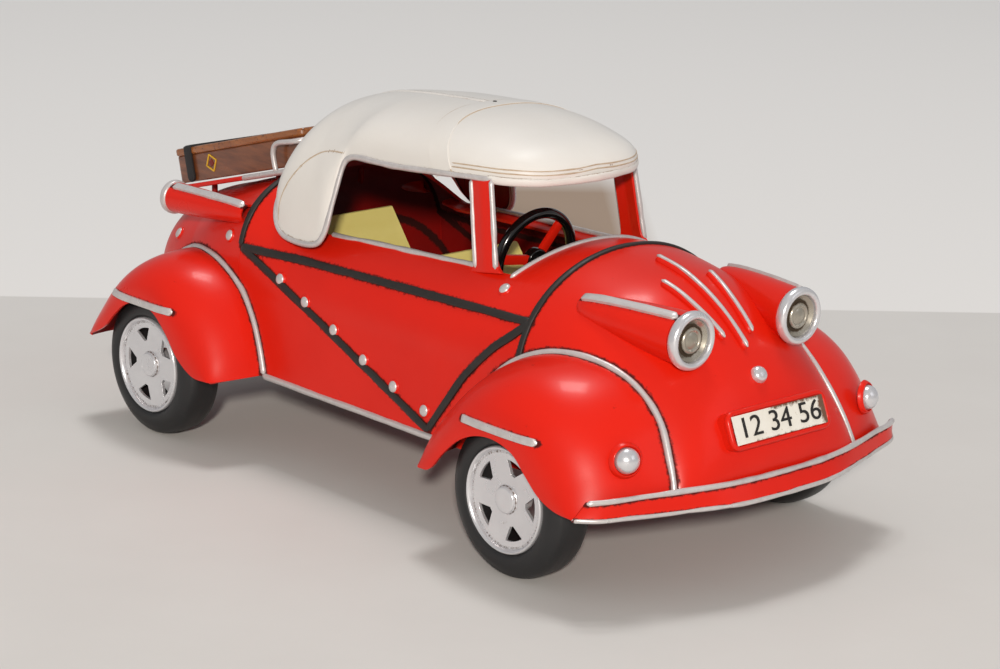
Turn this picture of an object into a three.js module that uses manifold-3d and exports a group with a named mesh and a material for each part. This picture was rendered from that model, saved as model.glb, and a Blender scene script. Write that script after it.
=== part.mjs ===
// Friction tin car: a tandem bubble coupé in hand-made tinplate, with a cream hard top,
// a luggage rack and a suitcase, and a geared flywheel motor on the rear axle.
// Millimetres. +X is the nose, +Y the left side, +Z up. Inside the group, x = 0 lies midway
// between the axles; the group is shifted so that the origin is the middle of the footprint.

import * as THREE from "three";
import { mergeVertices } from "three/addons/utils/BufferGeometryUtils.js";
import Module from "manifold-3d";

const wasm = await Module();
wasm.setup();

// ---- Driving dimensions -------------------------------------------------------------------

const CENTRE_SHIFT = -5.6; // from mid-wheelbase to the middle of the footprint
const WHEELBASE = 200;
const TIN = 1.2; // folded body sheet
const GAP = 0.35; // between parts that are soldered or pressed together
const SEAM_GAP = 1.0; // behind the solder bead of a fender

const WHEEL = { radius: 27.1, rim: 18.1, outer: 70.3, width: 16, axle: 1.5, bore: 1.9 };
const FLOOR = { top: 31, thick: 1.4, front: 146, rear: -133, halfWidth: 46 };
const SILL_Z = 31.2;
const WAIST = { z: 87.2, rise: 0.037 }; // the window sill amidships, and its rise per mm forward
const RIB = { columns: 9, drop: 1 }; // points on half a hull rib, above and below its widest
const HOOP = { rear: -70, cowl: 66.3, cowlFoot: 46, top: 102 };
const STEERING = { x: 36.5, z: 85, radius: 17.3, rim: 1.9, tilt: THREE.MathUtils.degToRad(8.4) };
const GEAR = { module: 1, big: 28, small: 10, face: 4, backlash: 0.15 };
const MOTOR = { plate: 13, plateThick: 1.2, slot: 16, firstLean: 108, secondLean: 72 };
const LAMP = { x: 139.2, y: 25.5, z: 82.4, radius: 9.9, depth: 2.8 };
const TAIL_TUBE = { x: -118.5, y: 44.5, z: 85.2, radius: 5.8 };
const SEAT = { halfWidth: 20, topZ: 82.5, lean: 0.78, footZ: 47, cushion: 25 };
const HULL = { halfWidth: 50, shoulderZ: 60, cabinTop: 98, lean: 0.13 }; // lean: out to the sill
const CASE = { length: 82, width: 50, body: 10.6, lid: 2.6, tilt: THREE.MathUtils.degToRad(15.3) };

const FINISH = {
  red: { color: "#c8170f", roughness: 0.25, metalness: 0.1 },
  darkRed: { color: "#6e0c0a", roughness: 0.45, metalness: 0.1 },
  cream: { color: "#e9e6de", roughness: 0.4, metalness: 0.0 },
  silver: { color: "#c3c4c6", roughness: 0.35, metalness: 0.8 },
  steel: { color: "#8f9193", roughness: 0.4, metalness: 0.9 },
  brass: { color: "#b0904c", roughness: 0.35, metalness: 0.9 },
  black: { color: "#151515", roughness: 0.35, metalness: 0.0 },
  tyre: { color: "#1b1b1c", roughness: 0.6, metalness: 0.0 },
  yellow: { color: "#ddcf6c", roughness: 0.5, metalness: 0.0 },
  wood: { color: "#6b3d20", roughness: 0.4, metalness: 0.0 },
  paleWood: { color: "#a06a3c", roughness: 0.4, metalness: 0.0 },
  glass: { color: "#cfc8bb", roughness: 0.2, metalness: 0.6 },
};

// ---- Small tools --------------------------------------------------------------------------

const car = new THREE.Group();
const lerp = THREE.MathUtils.lerp;
const v3 = (x, y, z) => new THREE.Vector3(x, y, z);

/** A smooth line through a few points. */
function line(points) {
  return new THREE.CatmullRomCurve3(points.map((p) => v3(...p)), false, "centripetal");
}

/** Merge the corners of a geometry, drop its flat triangles and turn its faces outwards. */
function closed(geometry) {
  const bare = geometry.clone();
  bare.deleteAttribute("normal");
  bare.deleteAttribute("uv");
  const merged = mergeVertices(bare, 1e-3);
  const p = merged.attributes.position;
  const index = merged.index.array;
  const kept = [];
  const [a, b, c] = [v3(), v3(), v3()];
  let volume = 0;
  for (let i = 0; i < index.length; i += 3) {
    const [ia, ib, ic] = [index[i], index[i + 1], index[i + 2]];
    if (ia === ib || ib === ic || ic === ia) continue;
    kept.push(ia, ib, ic);
    volume += a.fromBufferAttribute(p, ia).dot(
      b.fromBufferAttribute(p, ib).cross(c.fromBufferAttribute(p, ic)));
  }
  if (volume < 0) kept.reverse();
  merged.setIndex(kept);
  return merged;
}

/** Hand a closed geometry to manifold-3d. */
function toSolid(geometry) {
  const g = closed(geometry);
  return new wasm.Manifold(new wasm.Mesh({
    numProp: 3,
    vertProperties: new Float32Array(g.attributes.position.array),
    triVerts: new Uint32Array(g.index.array),
  }));
}

/** Take the largest body of a manifold-3d solid back as a geometry. */
function fromSolid(solid) {
  const bodies = solid.decompose().sort((a, b) => b.volume() - a.volume());
  const mesh = bodies[0].getMesh();
  const g = new THREE.BufferGeometry();
  g.setAttribute("position", new THREE.BufferAttribute(mesh.vertProperties, 3));
  g.setIndex(new THREE.BufferAttribute(mesh.triVerts, 1));
  return g;
}

const join = (...parts) => fromSolid(parts.map(toSolid).reduce((a, b) => a.add(b)));
const cut = (body, ...tools) =>
  fromSolid(tools.map(toSolid).reduce((a, b) => a.subtract(b), toSolid(body)));

/** Name a piece, give it its finish and put it on the car. */
function add(name, geometry, finish) {
  const mesh = new THREE.Mesh(geometry, new THREE.MeshStandardMaterial(FINISH[finish]));
  mesh.name = name;
  car.add(mesh);
  return mesh;
}

/** The same shape on the other side of the car. */
const mirrored = (geometry) => closed(geometry.clone().scale(1, -1, 1));

/** Add a right-hand piece and its left-hand twin. */
function addPair(stem, geometry, finish) {
  const right = closed(geometry);
  add(`right_${stem}`, right, finish);
  add(`left_${stem}`, mirrored(right), finish);
}

/** Close two grids of points, one the outside and one the inside of a piece. */
function closeGrids(outer, inner) {
  const rows = outer.length;
  const columns = outer[0].length;
  const positions = [...outer.flat(), ...inner.flat()].flatMap((p) => [p.x, p.y, p.z]);
  const at = (i, j, side) => side * rows * columns + i * columns + j;
  const index = [];
  const quad = (p, q, r, s) => index.push(p, q, r, p, r, s);
  for (let i = 0; i + 1 < rows; i++)
    for (let j = 0; j + 1 < columns; j++) {
      quad(at(i, j, 0), at(i, j + 1, 0), at(i + 1, j + 1, 0), at(i + 1, j, 0));
      quad(at(i, j, 1), at(i + 1, j, 1), at(i + 1, j + 1, 1), at(i, j + 1, 1));
    }
  for (let j = 0; j + 1 < columns; j++) {
    quad(at(0, j, 1), at(0, j + 1, 1), at(0, j + 1, 0), at(0, j, 0));
    quad(at(rows - 1, j, 0), at(rows - 1, j + 1, 0), at(rows - 1, j + 1, 1), at(rows - 1, j, 1));
  }
  for (let i = 0; i + 1 < rows; i++) {
    quad(at(i, 0, 0), at(i + 1, 0, 0), at(i + 1, 0, 1), at(i, 0, 1));
    const edge = columns - 1;
    quad(at(i, edge, 1), at(i + 1, edge, 1), at(i + 1, edge, 0), at(i, edge, 0));
  }
  const g = new THREE.BufferGeometry();
  g.setAttribute("position", new THREE.Float32BufferAttribute(positions, 3));
  g.setIndex(index);
  return closed(g);
}

/** The grid's own normals, from its neighbours along rows and columns. */
function gridNormals(grid) {
  const last = grid.length - 1;
  const lastColumn = grid[0].length - 1;
  return grid.map((row, i) => row.map((_, j) => {
    const along = grid[Math.min(i + 1, last)][j].clone().sub(grid[Math.max(i - 1, 0)][j]);
    const across = row[Math.min(j + 1, lastColumn)].clone().sub(row[Math.max(j - 1, 0)]);
    return along.cross(across).normalize();
  }));
}

/** Move a grid along its normals; a positive distance is away from an inside point. */
function offsetGrid(grid, distance, inside) {
  const normals = gridNormals(grid);
  const i = Math.floor(grid.length / 2);
  const j = Math.floor(grid[0].length / 2);
  const sign = Math.sign(normals[i][j].dot(grid[i][j].clone().sub(inside)));
  return grid.map((row, a) =>
    row.map((p, b) => p.clone().addScaledVector(normals[a][b], sign * distance)));
}

/** Sheet metal: the grid is its outside, and the sheet's thickness goes inwards. */
const sheet = (grid, inside, thick = TIN) => closeGrids(grid, offsetGrid(grid, -thick, inside));

/** A rib from the crown to the widest line: a quarter of a superellipse, then straight down. */
function rib(crown, wide, sill, power, columns, drop) {
  const half = [];
  for (let j = 0; j <= columns; j++) {
    const angle = (j / columns) * (Math.PI / 2);
    const out = Math.sin(angle) ** (2 / power);
    const down = 1 - Math.cos(angle) ** (2 / power);
    half.push(v3(
      lerp(crown.x, wide.x, down), lerp(crown.y, wide.y, out), lerp(crown.z, wide.z, down)));
  }
  for (let j = 1; j <= drop; j++) half.push(wide.clone().lerp(sill, j / drop));
  return half;
}

/** Both halves of a rib, from the right sill over the crown to the left sill. */
const bothSides = (half) => [
  ...half.map((p) => v3(p.x, -p.y, p.z)).reverse(), ...half.slice(1)];

/** A round bar or tube along a line. */
function rod(points, radius, steps, sides = 10) {
  const circle = new THREE.Shape().absarc(0, 0, radius, 0, Math.PI * 2);
  return new THREE.ExtrudeGeometry(circle, {
    curveSegments: sides / 2, steps, bevelEnabled: false, extrudePath: line(points) });
}

/** A lathe turned about the Y axis: each profile point is [y, radius]. */
function turned(profile, segments) {
  const g = new THREE.LatheGeometry(profile.map(([y, r]) => new THREE.Vector2(r, y)), segments);
  return closed(g);
}

/** A flat plate drawn in x and z, with its thickness along y and its middle at y. */
function plate(shape, thick, y, curveSegments = 12) {
  const g = new THREE.ExtrudeGeometry(shape, { depth: thick, bevelEnabled: false, curveSegments });
  g.rotateX(Math.PI / 2);
  return g.translate(0, y + thick / 2, 0);
}

// ---- The hull's lines ---------------------------------------------------------------------

const noseCrown = line([
  [HOOP.cowl, 0, 98], [82, 0, 99], [97, 0, 97], [112, 0, 93.4], [126, 0, 86], [138, 0, 76.2],
  [147, 0, 65.5], [154, 0, 53], [157, 0, 42], [157.6, 0, SILL_Z]]);
const noseWide = line([
  [HOOP.cowlFoot, 50, 60], [78, 49.7, 60], [99, 48.6, 58], [116, 47.2, 52], [130, 46, 45],
  [140, 45, 39], [147, 44, 35], [151, 43.2, 32.5], [152, 42.8, SILL_Z]]);
const tailCrown = line([
  [HOOP.rear, 0, HOOP.top], [-84, 0, 96.8], [-104, 0, 90.6], [-122, 0, 85], [-136, 0, 80.5],
  [-147, 0, 72.5], [-151.5, 0, 59], [-150.5, 0, 43], [-145, 0, SILL_Z]]);
const tailWide = line([
  [HOOP.rear, 50, 60], [-88, 49, 58], [-104, 46.5, 53], [-118, 43.2, 46], [-127, 40, 40],
  [-132, 37.5, 35], [-134, 36, SILL_Z]]);

/** The sill below a point of the widest line. */
const sillBelow = (wide) => v3(wide.x, wide.y + (wide.z - SILL_Z) * HULL.lean, SILL_Z);

/** A run of ribs from the first to the last point of two lines. */
function ribs(crownLine, wideLine, powers, rows) {
  const grid = [];
  for (let i = 0; i <= rows; i++) {
    const t = i / rows;
    const power = lerp(powers[0], powers[1], Math.min(1, t * powers[2]));
    const wide = wideLine.getPoint(t);
    const half = rib(crownLine.getPoint(t), wide, sillBelow(wide), power, RIB.columns, RIB.drop);
    grid.push(bothSides(half));
  }
  return grid;
}

const NOSE_POWERS = [2.1, 2.15, 1];
const TAIL_POWERS = [2.85, 2.2, 3]; // boxier at the rear hoop
const noseGrid = ribs(noseCrown, noseWide, NOSE_POWERS, 13);
const tailGrid = ribs(tailCrown, tailWide, TAIL_POWERS, 10);

/** The section between the rear hoop and the cowl: its crown height and its power. */
function cabinSection(x) {
  const t = (x - HOOP.rear) / (HOOP.cowl - HOOP.rear);
  const settle = Math.min(1, t * 5);
  return {
    top: lerp(HOOP.top, HULL.cabinTop, settle),
    power: lerp(TAIL_POWERS[0], NOSE_POWERS[0], settle),
  };
}

/** The flank between the hoop and the cowl at a height. */
function flankPoint(x, z) {
  const { top, power } = cabinSection(x);
  if (z <= HULL.shoulderZ) return v3(x, HULL.halfWidth + (HULL.shoulderZ - z) * HULL.lean, z);
  const up = (z - HULL.shoulderZ) / (top - HULL.shoulderZ);
  return v3(x, HULL.halfWidth * (1 - up ** power) ** (1 / power), z);
}

/** The hull as one closed body, grown by a distance: the tool that trims what sits on it. */
function hullBody(grow) {
  const cabin = [];
  for (let i = 1; i < 12; i++) {
    const x = lerp(HOOP.rear, HOOP.cowl, i / 12);
    const wide = v3(lerp(HOOP.rear, HOOP.cowlFoot, i / 12), HULL.halfWidth, HULL.shoulderZ);
    const { top, power } = cabinSection(x);
    const half = rib(v3(x, 0, top), wide, sillBelow(wide), power, RIB.columns, RIB.drop);
    cabin.push(bothSides(half));
  }
  const whole = [...[...tailGrid].reverse(), ...cabin, ...noseGrid.slice(1)];
  const skin = offsetGrid(whole, grow, v3(0, 0, 50));
  const core = skin.map((row) => row.map((p) => v3(p.x * 0.96, p.y * 0.02, SILL_Z - 4 + p.z * 0.02)));
  return closeGrids(skin, core);
}

// ---- Points on the hull -------------------------------------------------------------------

/** Where a line across the car at (x, z) leaves the left half of a grid, or null. */
function crossing(grid, x, z) {
  const middle = (grid[0].length - 1) / 2;
  let found = null;
  const hit = (a, b, c) => {
    const area = (b.x - a.x) * (c.z - a.z) - (c.x - a.x) * (b.z - a.z);
    if (Math.abs(area) < 1e-6) return;
    const u = ((x - a.x) * (c.z - a.z) - (c.x - a.x) * (z - a.z)) / area;
    const w = ((b.x - a.x) * (z - a.z) - (x - a.x) * (b.z - a.z)) / area;
    if (u < -1e-4 || w < -1e-4 || u + w > 1.0002) return;
    const y = a.y + u * (b.y - a.y) + w * (c.y - a.y);
    if (found === null || y > found) found = y;
  };
  for (let i = 0; i + 1 < grid.length; i++)
    for (let j = middle; j + 1 < grid[0].length; j++) {
      hit(grid[i][j], grid[i][j + 1], grid[i + 1][j + 1]);
      hit(grid[i][j], grid[i + 1][j + 1], grid[i + 1][j]);
    }
  return found;
}

/** The hull's half width at a side-view place. */
function hullWidth(x, z) {
  if (x > HOOP.rear && x < HOOP.cowlFoot) return flankPoint(x, z).y;
  const y = crossing(x < 0 ? tailGrid : noseGrid, x, z);
  if (y === null) throw new Error(`no hull at x ${x}, z ${z}`);
  return y;
}

// ---- Body sheets --------------------------------------------------------------------------

add("nose_shell", sheet(noseGrid, v3(100, 0, 40)), "red");
add("tail_shell", sheet(tailGrid, v3(-100, 0, 40)), "red");

/** Where the nose shell's rear edge stands at a height: it leans back with the windscreen. */
const cowlEdge = (z) => lerp(HOOP.cowlFoot, HOOP.cowl,
  Math.max(0, (z - HULL.shoulderZ) / (HULL.cabinTop - HULL.shoulderZ)));

/** A side panel: its top follows the waist, and climbs to the hoop behind the roof's lobe. */
function sidePanel() {
  const grid = [];
  const [rows, columns] = [12, 6];
  for (let i = 0; i <= rows; i++) {
    const ahead = lerp(HOOP.rear + GAP, HOOP.cowl - 5, i / rows);
    const climb = THREE.MathUtils.smoothstep(-ahead, 45, 70);
    const top = lerp(WAIST.z + WAIST.rise * ahead, 98.4, climb);
    const row = [];
    for (let j = 0; j <= columns; j++) {
      const z = lerp(SILL_Z, top, Math.sin((j / columns) * (Math.PI / 2)));
      const x = lerp(HOOP.rear + SEAM_GAP, cowlEdge(z) - 2 * SEAM_GAP, i / rows);
      const p = flankPoint(x, z);
      row.push(v3(p.x, -p.y, p.z));
    }
    grid.push(row);
  }
  return sheet(grid, v3(0, 0, 45));
}
addPair("side_panel", sidePanel(), "red");

/** The flat floor, with a slot for the gear train. */
function floorPan() {
  const s = new THREE.Shape();
  s.moveTo(FLOOR.rear, -33);
  s.lineTo(-104, -FLOOR.halfWidth);
  s.lineTo(110, -FLOOR.halfWidth);
  s.lineTo(FLOOR.front, -38);
  s.lineTo(FLOOR.front, 38);
  s.lineTo(110, FLOOR.halfWidth);
  s.lineTo(-104, FLOOR.halfWidth);
  s.lineTo(FLOOR.rear, 33);
  s.closePath();
  const slot = new THREE.Path();
  const x0 = -WHEELBASE / 2 - 19;
  const x1 = -WHEELBASE / 2 + 19;
  slot.moveTo(x0, -MOTOR.slot);
  slot.lineTo(x1, -MOTOR.slot);
  slot.lineTo(x1, MOTOR.slot);
  slot.lineTo(x0, MOTOR.slot);
  slot.closePath();
  s.holes.push(slot);
  const g = new THREE.ExtrudeGeometry(s, { depth: FLOOR.thick, bevelEnabled: false });
  return g.translate(0, 0, FLOOR.top - FLOOR.thick);
}
add("floor_pan", floorPan(), "darkRed");

const hullCutter = hullBody(GAP);

// ---- Fenders ------------------------------------------------------------------------------

/** A fender: ribs from the solder line on the hull, over the crest, to the wheel arch. */
function fender(seam, crest, arch, rows, columns) {
  const grid = [];
  for (let i = 0; i <= rows; i++) {
    const t = i / rows;
    const s = seam.getPoint(t);
    const k = crest.getPoint(t);
    const a = arch.getPoint(t);
    s.y = hullWidth(s.x, s.z) + SEAM_GAP;
    const row = [];
    for (let j = 0; j <= columns; j++) {
      const angle = (j / columns) * (Math.PI / 2);
      const out = Math.sin(angle) ** (2 / 2.5);
      const down = 1 - Math.cos(angle) ** (2 / 2.5);
      const p = s.clone().addScaledVector(k.clone().sub(s), out);
      p.addScaledVector(a.clone().sub(k), down);
      row.push(p.setY(-p.y));
    }
    grid.push(row);
  }
  const middle = grid[Math.floor(rows / 2)];
  return sheet(grid, middle[0].clone().lerp(middle[columns], 0.5).setZ(35));
}

const frontSeam = line([
  [56, 0, 31.5], [61, 0, 44], [70, 0, 57], [82, 0, 67], [97, 0, 72.5], [113, 0, 72.5],
  [127, 0, 68], [138.5, 0, 59], [146.5, 0, 47], [150.5, 0, 38], [151.3, 0, 31.8]]);
const frontCrest = line([
  [58.5, 74.5, 30], [62, 75.5, 42], [72, 76, 54], [84, 76, 64.5], [99, 76, 70.5], [113, 76, 69.5],
  [125, 76, 64.5], [134, 76, 56.5], [139.5, 76, 46], [141.5, 76, 38], [141.8, 75.5, 31.2]]);
const frontArch = line([
  [61.5, 73.6, 29], [67, 74.2, 30], [74, 74.6, 37], [82, 74.8, 43.8], [91, 74.9, 47.8],
  [100, 75, 48.6], [109, 75, 46], [115, 75, 40.6], [121.5, 74.9, 35], [129, 74.8, 32],
  [137, 74.4, 31.2]]);
addPair("front_fender", cut(fender(frontSeam, frontCrest, frontArch, 17, 6), hullCutter), "red");

const rearSeam = line([
  [-49.5, 0, 32], [-54, 0, 42], [-60.5, 0, 52.5], [-69.5, 0, 61.5], [-81, 0, 67.4], [-94, 0, 69.4],
  [-106, 0, 67.8], [-117, 0, 62.5], [-125, 0, 54], [-130.5, 0, 43], [-133, 0, 32.5]]);
const rearCrest = line([
  [-54, 73.5, 31], [-57, 75, 41], [-63, 76, 51.5], [-72, 76, 61], [-83, 76, 68], [-97, 76, 70.5],
  [-109, 76, 67.5], [-120, 76, 60.5], [-129, 75.5, 51], [-136, 74, 40], [-139, 72, 31.5]]);
const rearArch = line([
  [-58, 73.6, 30.5], [-66, 74.2, 30.8], [-75, 74.6, 36], [-82, 74.8, 44], [-90, 74.9, 50.4],
  [-100, 75, 52], [-108, 75, 49.4], [-115, 74.8, 44.2], [-122, 74.4, 38], [-129.5, 73.6, 34],
  [-136, 71.5, 31.5]]);
addPair("rear_fender", cut(fender(rearSeam, rearCrest, rearArch, 17, 6), hullCutter), "red");

// ---- Hard top -----------------------------------------------------------------------------

const roofCrown = line([
  [67.3, 0, 120.5], [65.5, 0, 125], [58.5, 0, 130.2], [44, 0, 134.6], [28, 0, 137],
  [8, 0, 137.2], [-13, 0, 136.1], [-18, 0, 135.8], [-27, 0, 135], [-35, 0, 134.1],
  [-41.5, 0, 133], [-50.5, 0, 130], [-56, 0, 124.6], [-58.8, 0, 114.5], [-59.5, 0, 102.8]]);
const roofRim = line([
  [66.3, 8, 120], [62, 22, 120], [53, 31, 120.2], [40, 35, 120], [22, 37.3, 119],
  [2, 38, 117.6], [-18.5, 38.5, 116.9], [-22, 38.9, 114.6], [-23.6, 42.6, 101],
  [-25.3, 45.6, 88.5], [-29, 46.2, 84.4], [-47, 46.2, 83.8], [-52.8, 45.3, 87], [-57, 42, 94],
  [-61, 32, 102.4]]);

/** The hard top: ribs from the crown to the rim, which dips into a lobe behind each window. */
function roofShell() {
  const rows = 23;
  const grid = [];
  for (let i = 0; i <= rows; i++) {
    const t = i / rows;
    const rim = roofRim.getPoint(t);
    const half = rib(roofCrown.getPoint(t), rim, rim, 2.35, 8, 0);
    grid.push(bothSides(half));
  }
  return cut(sheet(grid, v3(0, 0, 100), 1.5), hullCutter);
}
add("roof_shell", roofShell(), "cream");

/** A windscreen post: folded sheet, leaning back and in to the roof's rim. */
function post() {
  const foot = v3(50.6, -35.6, WAIST.z + 2.4);
  const head = v3(45, -33.2, 118.6);
  const half = 4.8;
  const grid = [foot, head].map((p) => [v3(p.x - half, p.y, p.z), v3(p.x + half, p.y + 0.4, p.z + 0.4)]);
  return sheet(grid, v3(50, 0, 100), 1.6);
}
addPair("windscreen_post", post(), "red");

/** The dashboard: a flat panel below the cowl, following the hull's section. */
function dashboard() {
  const s = new THREE.Shape();
  const edge = [];
  for (let k = 0; k <= 8; k++) {
    const z = lerp(92, 70, k / 8);
    edge.push([z, flankPoint(60, z).y - 3.4]);
  }
  s.moveTo(edge[0][0], edge[0][1]);
  for (const p of edge.slice(1)) s.lineTo(...p);
  for (const [z, y] of [...edge].reverse()) s.lineTo(z, -y);
  const g = new THREE.ExtrudeGeometry(s, { depth: TIN, bevelEnabled: false });
  return closed(g.rotateY(-Math.PI / 2).translate(72, 0, 0));
}
add("dashboard", dashboard(), "darkRed");

// ---- Trim on the nose ---------------------------------------------------------------------

/** A fairing from a round face back to a small end, seated on the hull. */
function fairing(face, faceRadius, tip, tipRadius) {
  const grid = [];
  const axis = tip.clone().sub(face);
  for (let i = 0; i <= 8; i++) {
    const t = i / 8;
    const radius = lerp(tipRadius, faceRadius, Math.sqrt(1 - t * t) * 0.6 + (1 - t) * 0.4);
    const centre = face.clone().addScaledVector(axis, t);
    const row = [];
    for (let j = 0; j <= 20; j++) {
      const a = (j / 20) * Math.PI * 2;
      row.push(v3(centre.x, centre.y + radius * Math.cos(a), centre.z + radius * Math.sin(a)));
    }
    grid.push(row);
  }
  const spine = grid.map((row, i) => row.map(() => face.clone().addScaledVector(axis, i / 8)));
  return cut(closeGrids(grid, spine), hullCutter);
}

/** The headlight pod, its chrome ring and its reflector dish. */
function headlight() {
  const face = v3(LAMP.x - LAMP.depth, -LAMP.y, LAMP.z);
  addPair("headlight_pod", fairing(face, LAMP.radius - 0.9, v3(96, -33, 86), 3), "red");
  const r = LAMP.radius;
  const ring = [[0.35, r - 1], [1.6, r - 0.2], [3, r], [4.2, r - 1.2], [3.6, r - 2.2],
    [1.6, r - 2.6], [0.35, r - 2.6]];
  const dish = [[0.6, 0], [0.6, r - 3], [2.6, r - 3.1], [1.6, 4.6], [2.4, 4.4], [3.2, 2.6], [3.5, 0]];
  const facing = (g) => g.rotateZ(-Math.PI / 2).translate(face.x, face.y, face.z);
  addPair("headlight_ring", facing(turned([...ring, ring[0]], 24)), "silver");
  addPair("headlight_lens", facing(turned(dish, 20)), "glass");
}
headlight();

/** A raised fin along the hood. */
function hoodFin(rear, front, height) {
  const width = 1.4;
  const grid = [];
  for (let i = 0; i <= 8; i++) {
    const t = i / 8;
    const p = rear.clone().lerp(front, t);
    const rise = height * Math.sin(Math.PI * Math.min(1, t * 0.9 + 0.08)) ** 0.7;
    const crown = noseHeight(p.x, Math.abs(p.y));
    grid.push([v3(p.x, p.y - width, crown - 2), v3(p.x, p.y - width * 0.6, crown + rise),
      v3(p.x, p.y + width * 0.6, crown + rise), v3(p.x, p.y + width, crown - 2)]);
  }
  const spine = grid.map((row) => row.map(() => row[0].clone().lerp(row[3], 0.5)));
  return cut(closeGrids(grid, spine), hullCutter);
}

/** The height of the nose above a place in plan. */
function noseHeight(x, y) {
  let low = 40;
  let high = 110;
  for (let i = 0; i < 22; i++) {
    const z = (low + high) / 2;
    const width = crossing(noseGrid, x, z);
    if (width !== null && width > y) low = z;
    else high = z;
  }
  return low;
}
add("hood_fin", hoodFin(v3(96, 0, 0), v3(139, 0, 0), 2.2), "silver");
addPair("hood_fin", hoodFin(v3(110, -11, 0), v3(135, -6.5, 0), 2), "silver");

/** A small dome, seated on the hull or on a fender, facing along a direction. */
function dome(centre, facing, radius, height) {
  const profile = [[0, 0], [0, radius], [height * 0.35, radius * 0.95],
    [height * 0.75, radius * 0.66], [height, 0]];
  const g = turned(profile, 16);
  const turn = new THREE.Quaternion().setFromUnitVectors(v3(0, 1, 0), facing.clone().normalize());
  g.applyQuaternion(turn);
  return g.translate(centre.x, centre.y, centre.z);
}
add("nose_badge", dome(v3(noseHeightX(68.5) + 0.6, 0, 68.5), v3(0.78, 0, 0.62), 2.8, 1.8), "silver");

/** How far forward the nose reaches at a height, on the centre line. */
function noseHeightX(z) {
  let best = 0;
  for (let i = 0; i <= 200; i++) {
    const p = noseCrown.getPoint(i / 200);
    if (p.x > 100 && Math.abs(p.z - z) < 1 && p.x > best) best = p.x;
  }
  return best;
}

/** The number plate: a flat sheet on a raised pad, leaning with the nose. */
function numberPlate() {
  const lean = Math.atan2(noseHeightX(50.5) - noseHeightX(58), 7.5);
  const block = (width, height, depth, away) => {
    const g = new THREE.BoxGeometry(depth, width, height);
    g.translate(away + depth / 2, 0, 0);
    g.rotateY(-lean);
    return g.translate(noseHeightX(54.2), 0, 54.2);
  };
  add("number_plate_pad", cut(block(47, 13, 9.5, -7.6), hullCutter), "red");
  add("number_plate", closed(block(43.5, 9.6, 0.8, 2.2)), "cream");
}
numberPlate();

/** The bumper: a flared band around the nose and both front fenders. */
function bumper() {
  const low = line([[139.4, 77.2, 31.6], [145.3, 70.5, 31.6], [150.4, 57, 31.6], [155, 43, 31.6],
    [161.4, 22.7, 31.6], [163, 0, 31.6]]);
  const high = line([[142.4, 73.4, 38], [145.9, 66.5, 38.2], [149, 56, 38.4], [153.2, 43, 38.6],
    [157.9, 24, 38.7], [159.6, 0, 38.8]]);
  const grid = [];
  for (let i = 0; i <= 40; i++) {
    const t = 1 - Math.abs(i / 20 - 1);
    const side = i < 20 ? -1 : 1;
    const a = low.getPoint(t);
    const b = high.getPoint(t);
    grid.push([0, 0.5, 1].map((h) => a.clone().lerp(b, h)).map((p) => p.setY(p.y * side)));
  }
  return sheet(grid, v3(100, 0, 35), 1.2);
}
add("front_bumper", cut(bumper(), hullCutter), "red");

// ---- Lamps and tail -----------------------------------------------------------------------

addPair("signal_lamp", dome(v3(144.2, -57.6, 49.5), v3(0.94, -0.3, 0.16), 4.2, 3.4), "silver");

/** A tail tube: a short jet pipe beside the luggage rack, with an open ring at its end. */
function tailTube() {
  const mouth = v3(TAIL_TUBE.x, -TAIL_TUBE.y, TAIL_TUBE.z);
  const front = mouth.clone().setX(mouth.x + 3);
  addPair("tail_tube", fairing(front, TAIL_TUBE.radius, v3(-72, -44, 87), 3.4), "red");
  const r = TAIL_TUBE.radius + 0.6;
  const ring = turned([[0, r - 1.8], [0, r], [2.6, r], [2.6, r - 1.8], [0, r - 1.8]], 20);
  addPair("tail_ring", ring.rotateZ(-Math.PI / 2).translate(mouth.x, mouth.y, mouth.z), "silver");
}
tailTube();

// ---- Rack and suitcase --------------------------------------------------------------------

const caseBase = v3(-141, 0, 83.4);
const caseUp = v3(-Math.sin(CASE.tilt), 0, Math.cos(CASE.tilt));
const caseAhead = v3(Math.cos(CASE.tilt), 0, Math.sin(CASE.tilt));
const onCase = (ahead, side, up) =>
  caseBase.clone().addScaledVector(caseAhead, ahead).addScaledVector(caseUp, up).setY(side);

/** A rounded block of the suitcase between two heights above its underside. */
function caseBlock(low, high, margin, corner) {
  const s = new THREE.Shape();
  const [x0, x1, y1] = [margin, CASE.length - margin, CASE.width / 2 - margin];
  s.moveTo(x0 + corner, -y1);
  s.lineTo(x1 - corner, -y1);
  s.absarc(x1 - corner, -y1 + corner, corner, -Math.PI / 2, 0);
  s.absarc(x1 - corner, y1 - corner, corner, 0, Math.PI / 2);
  s.absarc(x0 + corner, y1 - corner, corner, Math.PI / 2, Math.PI);
  s.absarc(x0 + corner, -y1 + corner, corner, Math.PI, Math.PI * 1.5);
  const g = new THREE.ExtrudeGeometry(s, { depth: high - low, bevelEnabled: false, curveSegments: 4 });
  g.translate(0, 0, low).rotateY(-CASE.tilt);
  return closed(g.translate(caseBase.x, 0, caseBase.z));
}
add("suitcase_body", caseBlock(0, CASE.body, 0, 2), "wood");
add("suitcase_lid", caseBlock(CASE.body + GAP, CASE.body + GAP + CASE.lid, 0.3, 2), "paleWood");

/** A strap around the suitcase, a little outside it all round. */
function strap(ahead) {
  const width = 4;
  const [y, top] = [CASE.width / 2 + GAP, CASE.body + CASE.lid + 2 * GAP];
  const band = (out) => {
    const g = new THREE.BoxGeometry(width + (out ? 0 : 2), 2 * (y + out), top + GAP + 2 * out);
    g.translate(ahead, 0, (top - GAP) / 2).rotateY(-CASE.tilt);
    return g.translate(caseBase.x, 0, caseBase.z);
  };
  return cut(band(0.8), band(0));
}
add("suitcase_strap", strap(9.5), "black");

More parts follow.
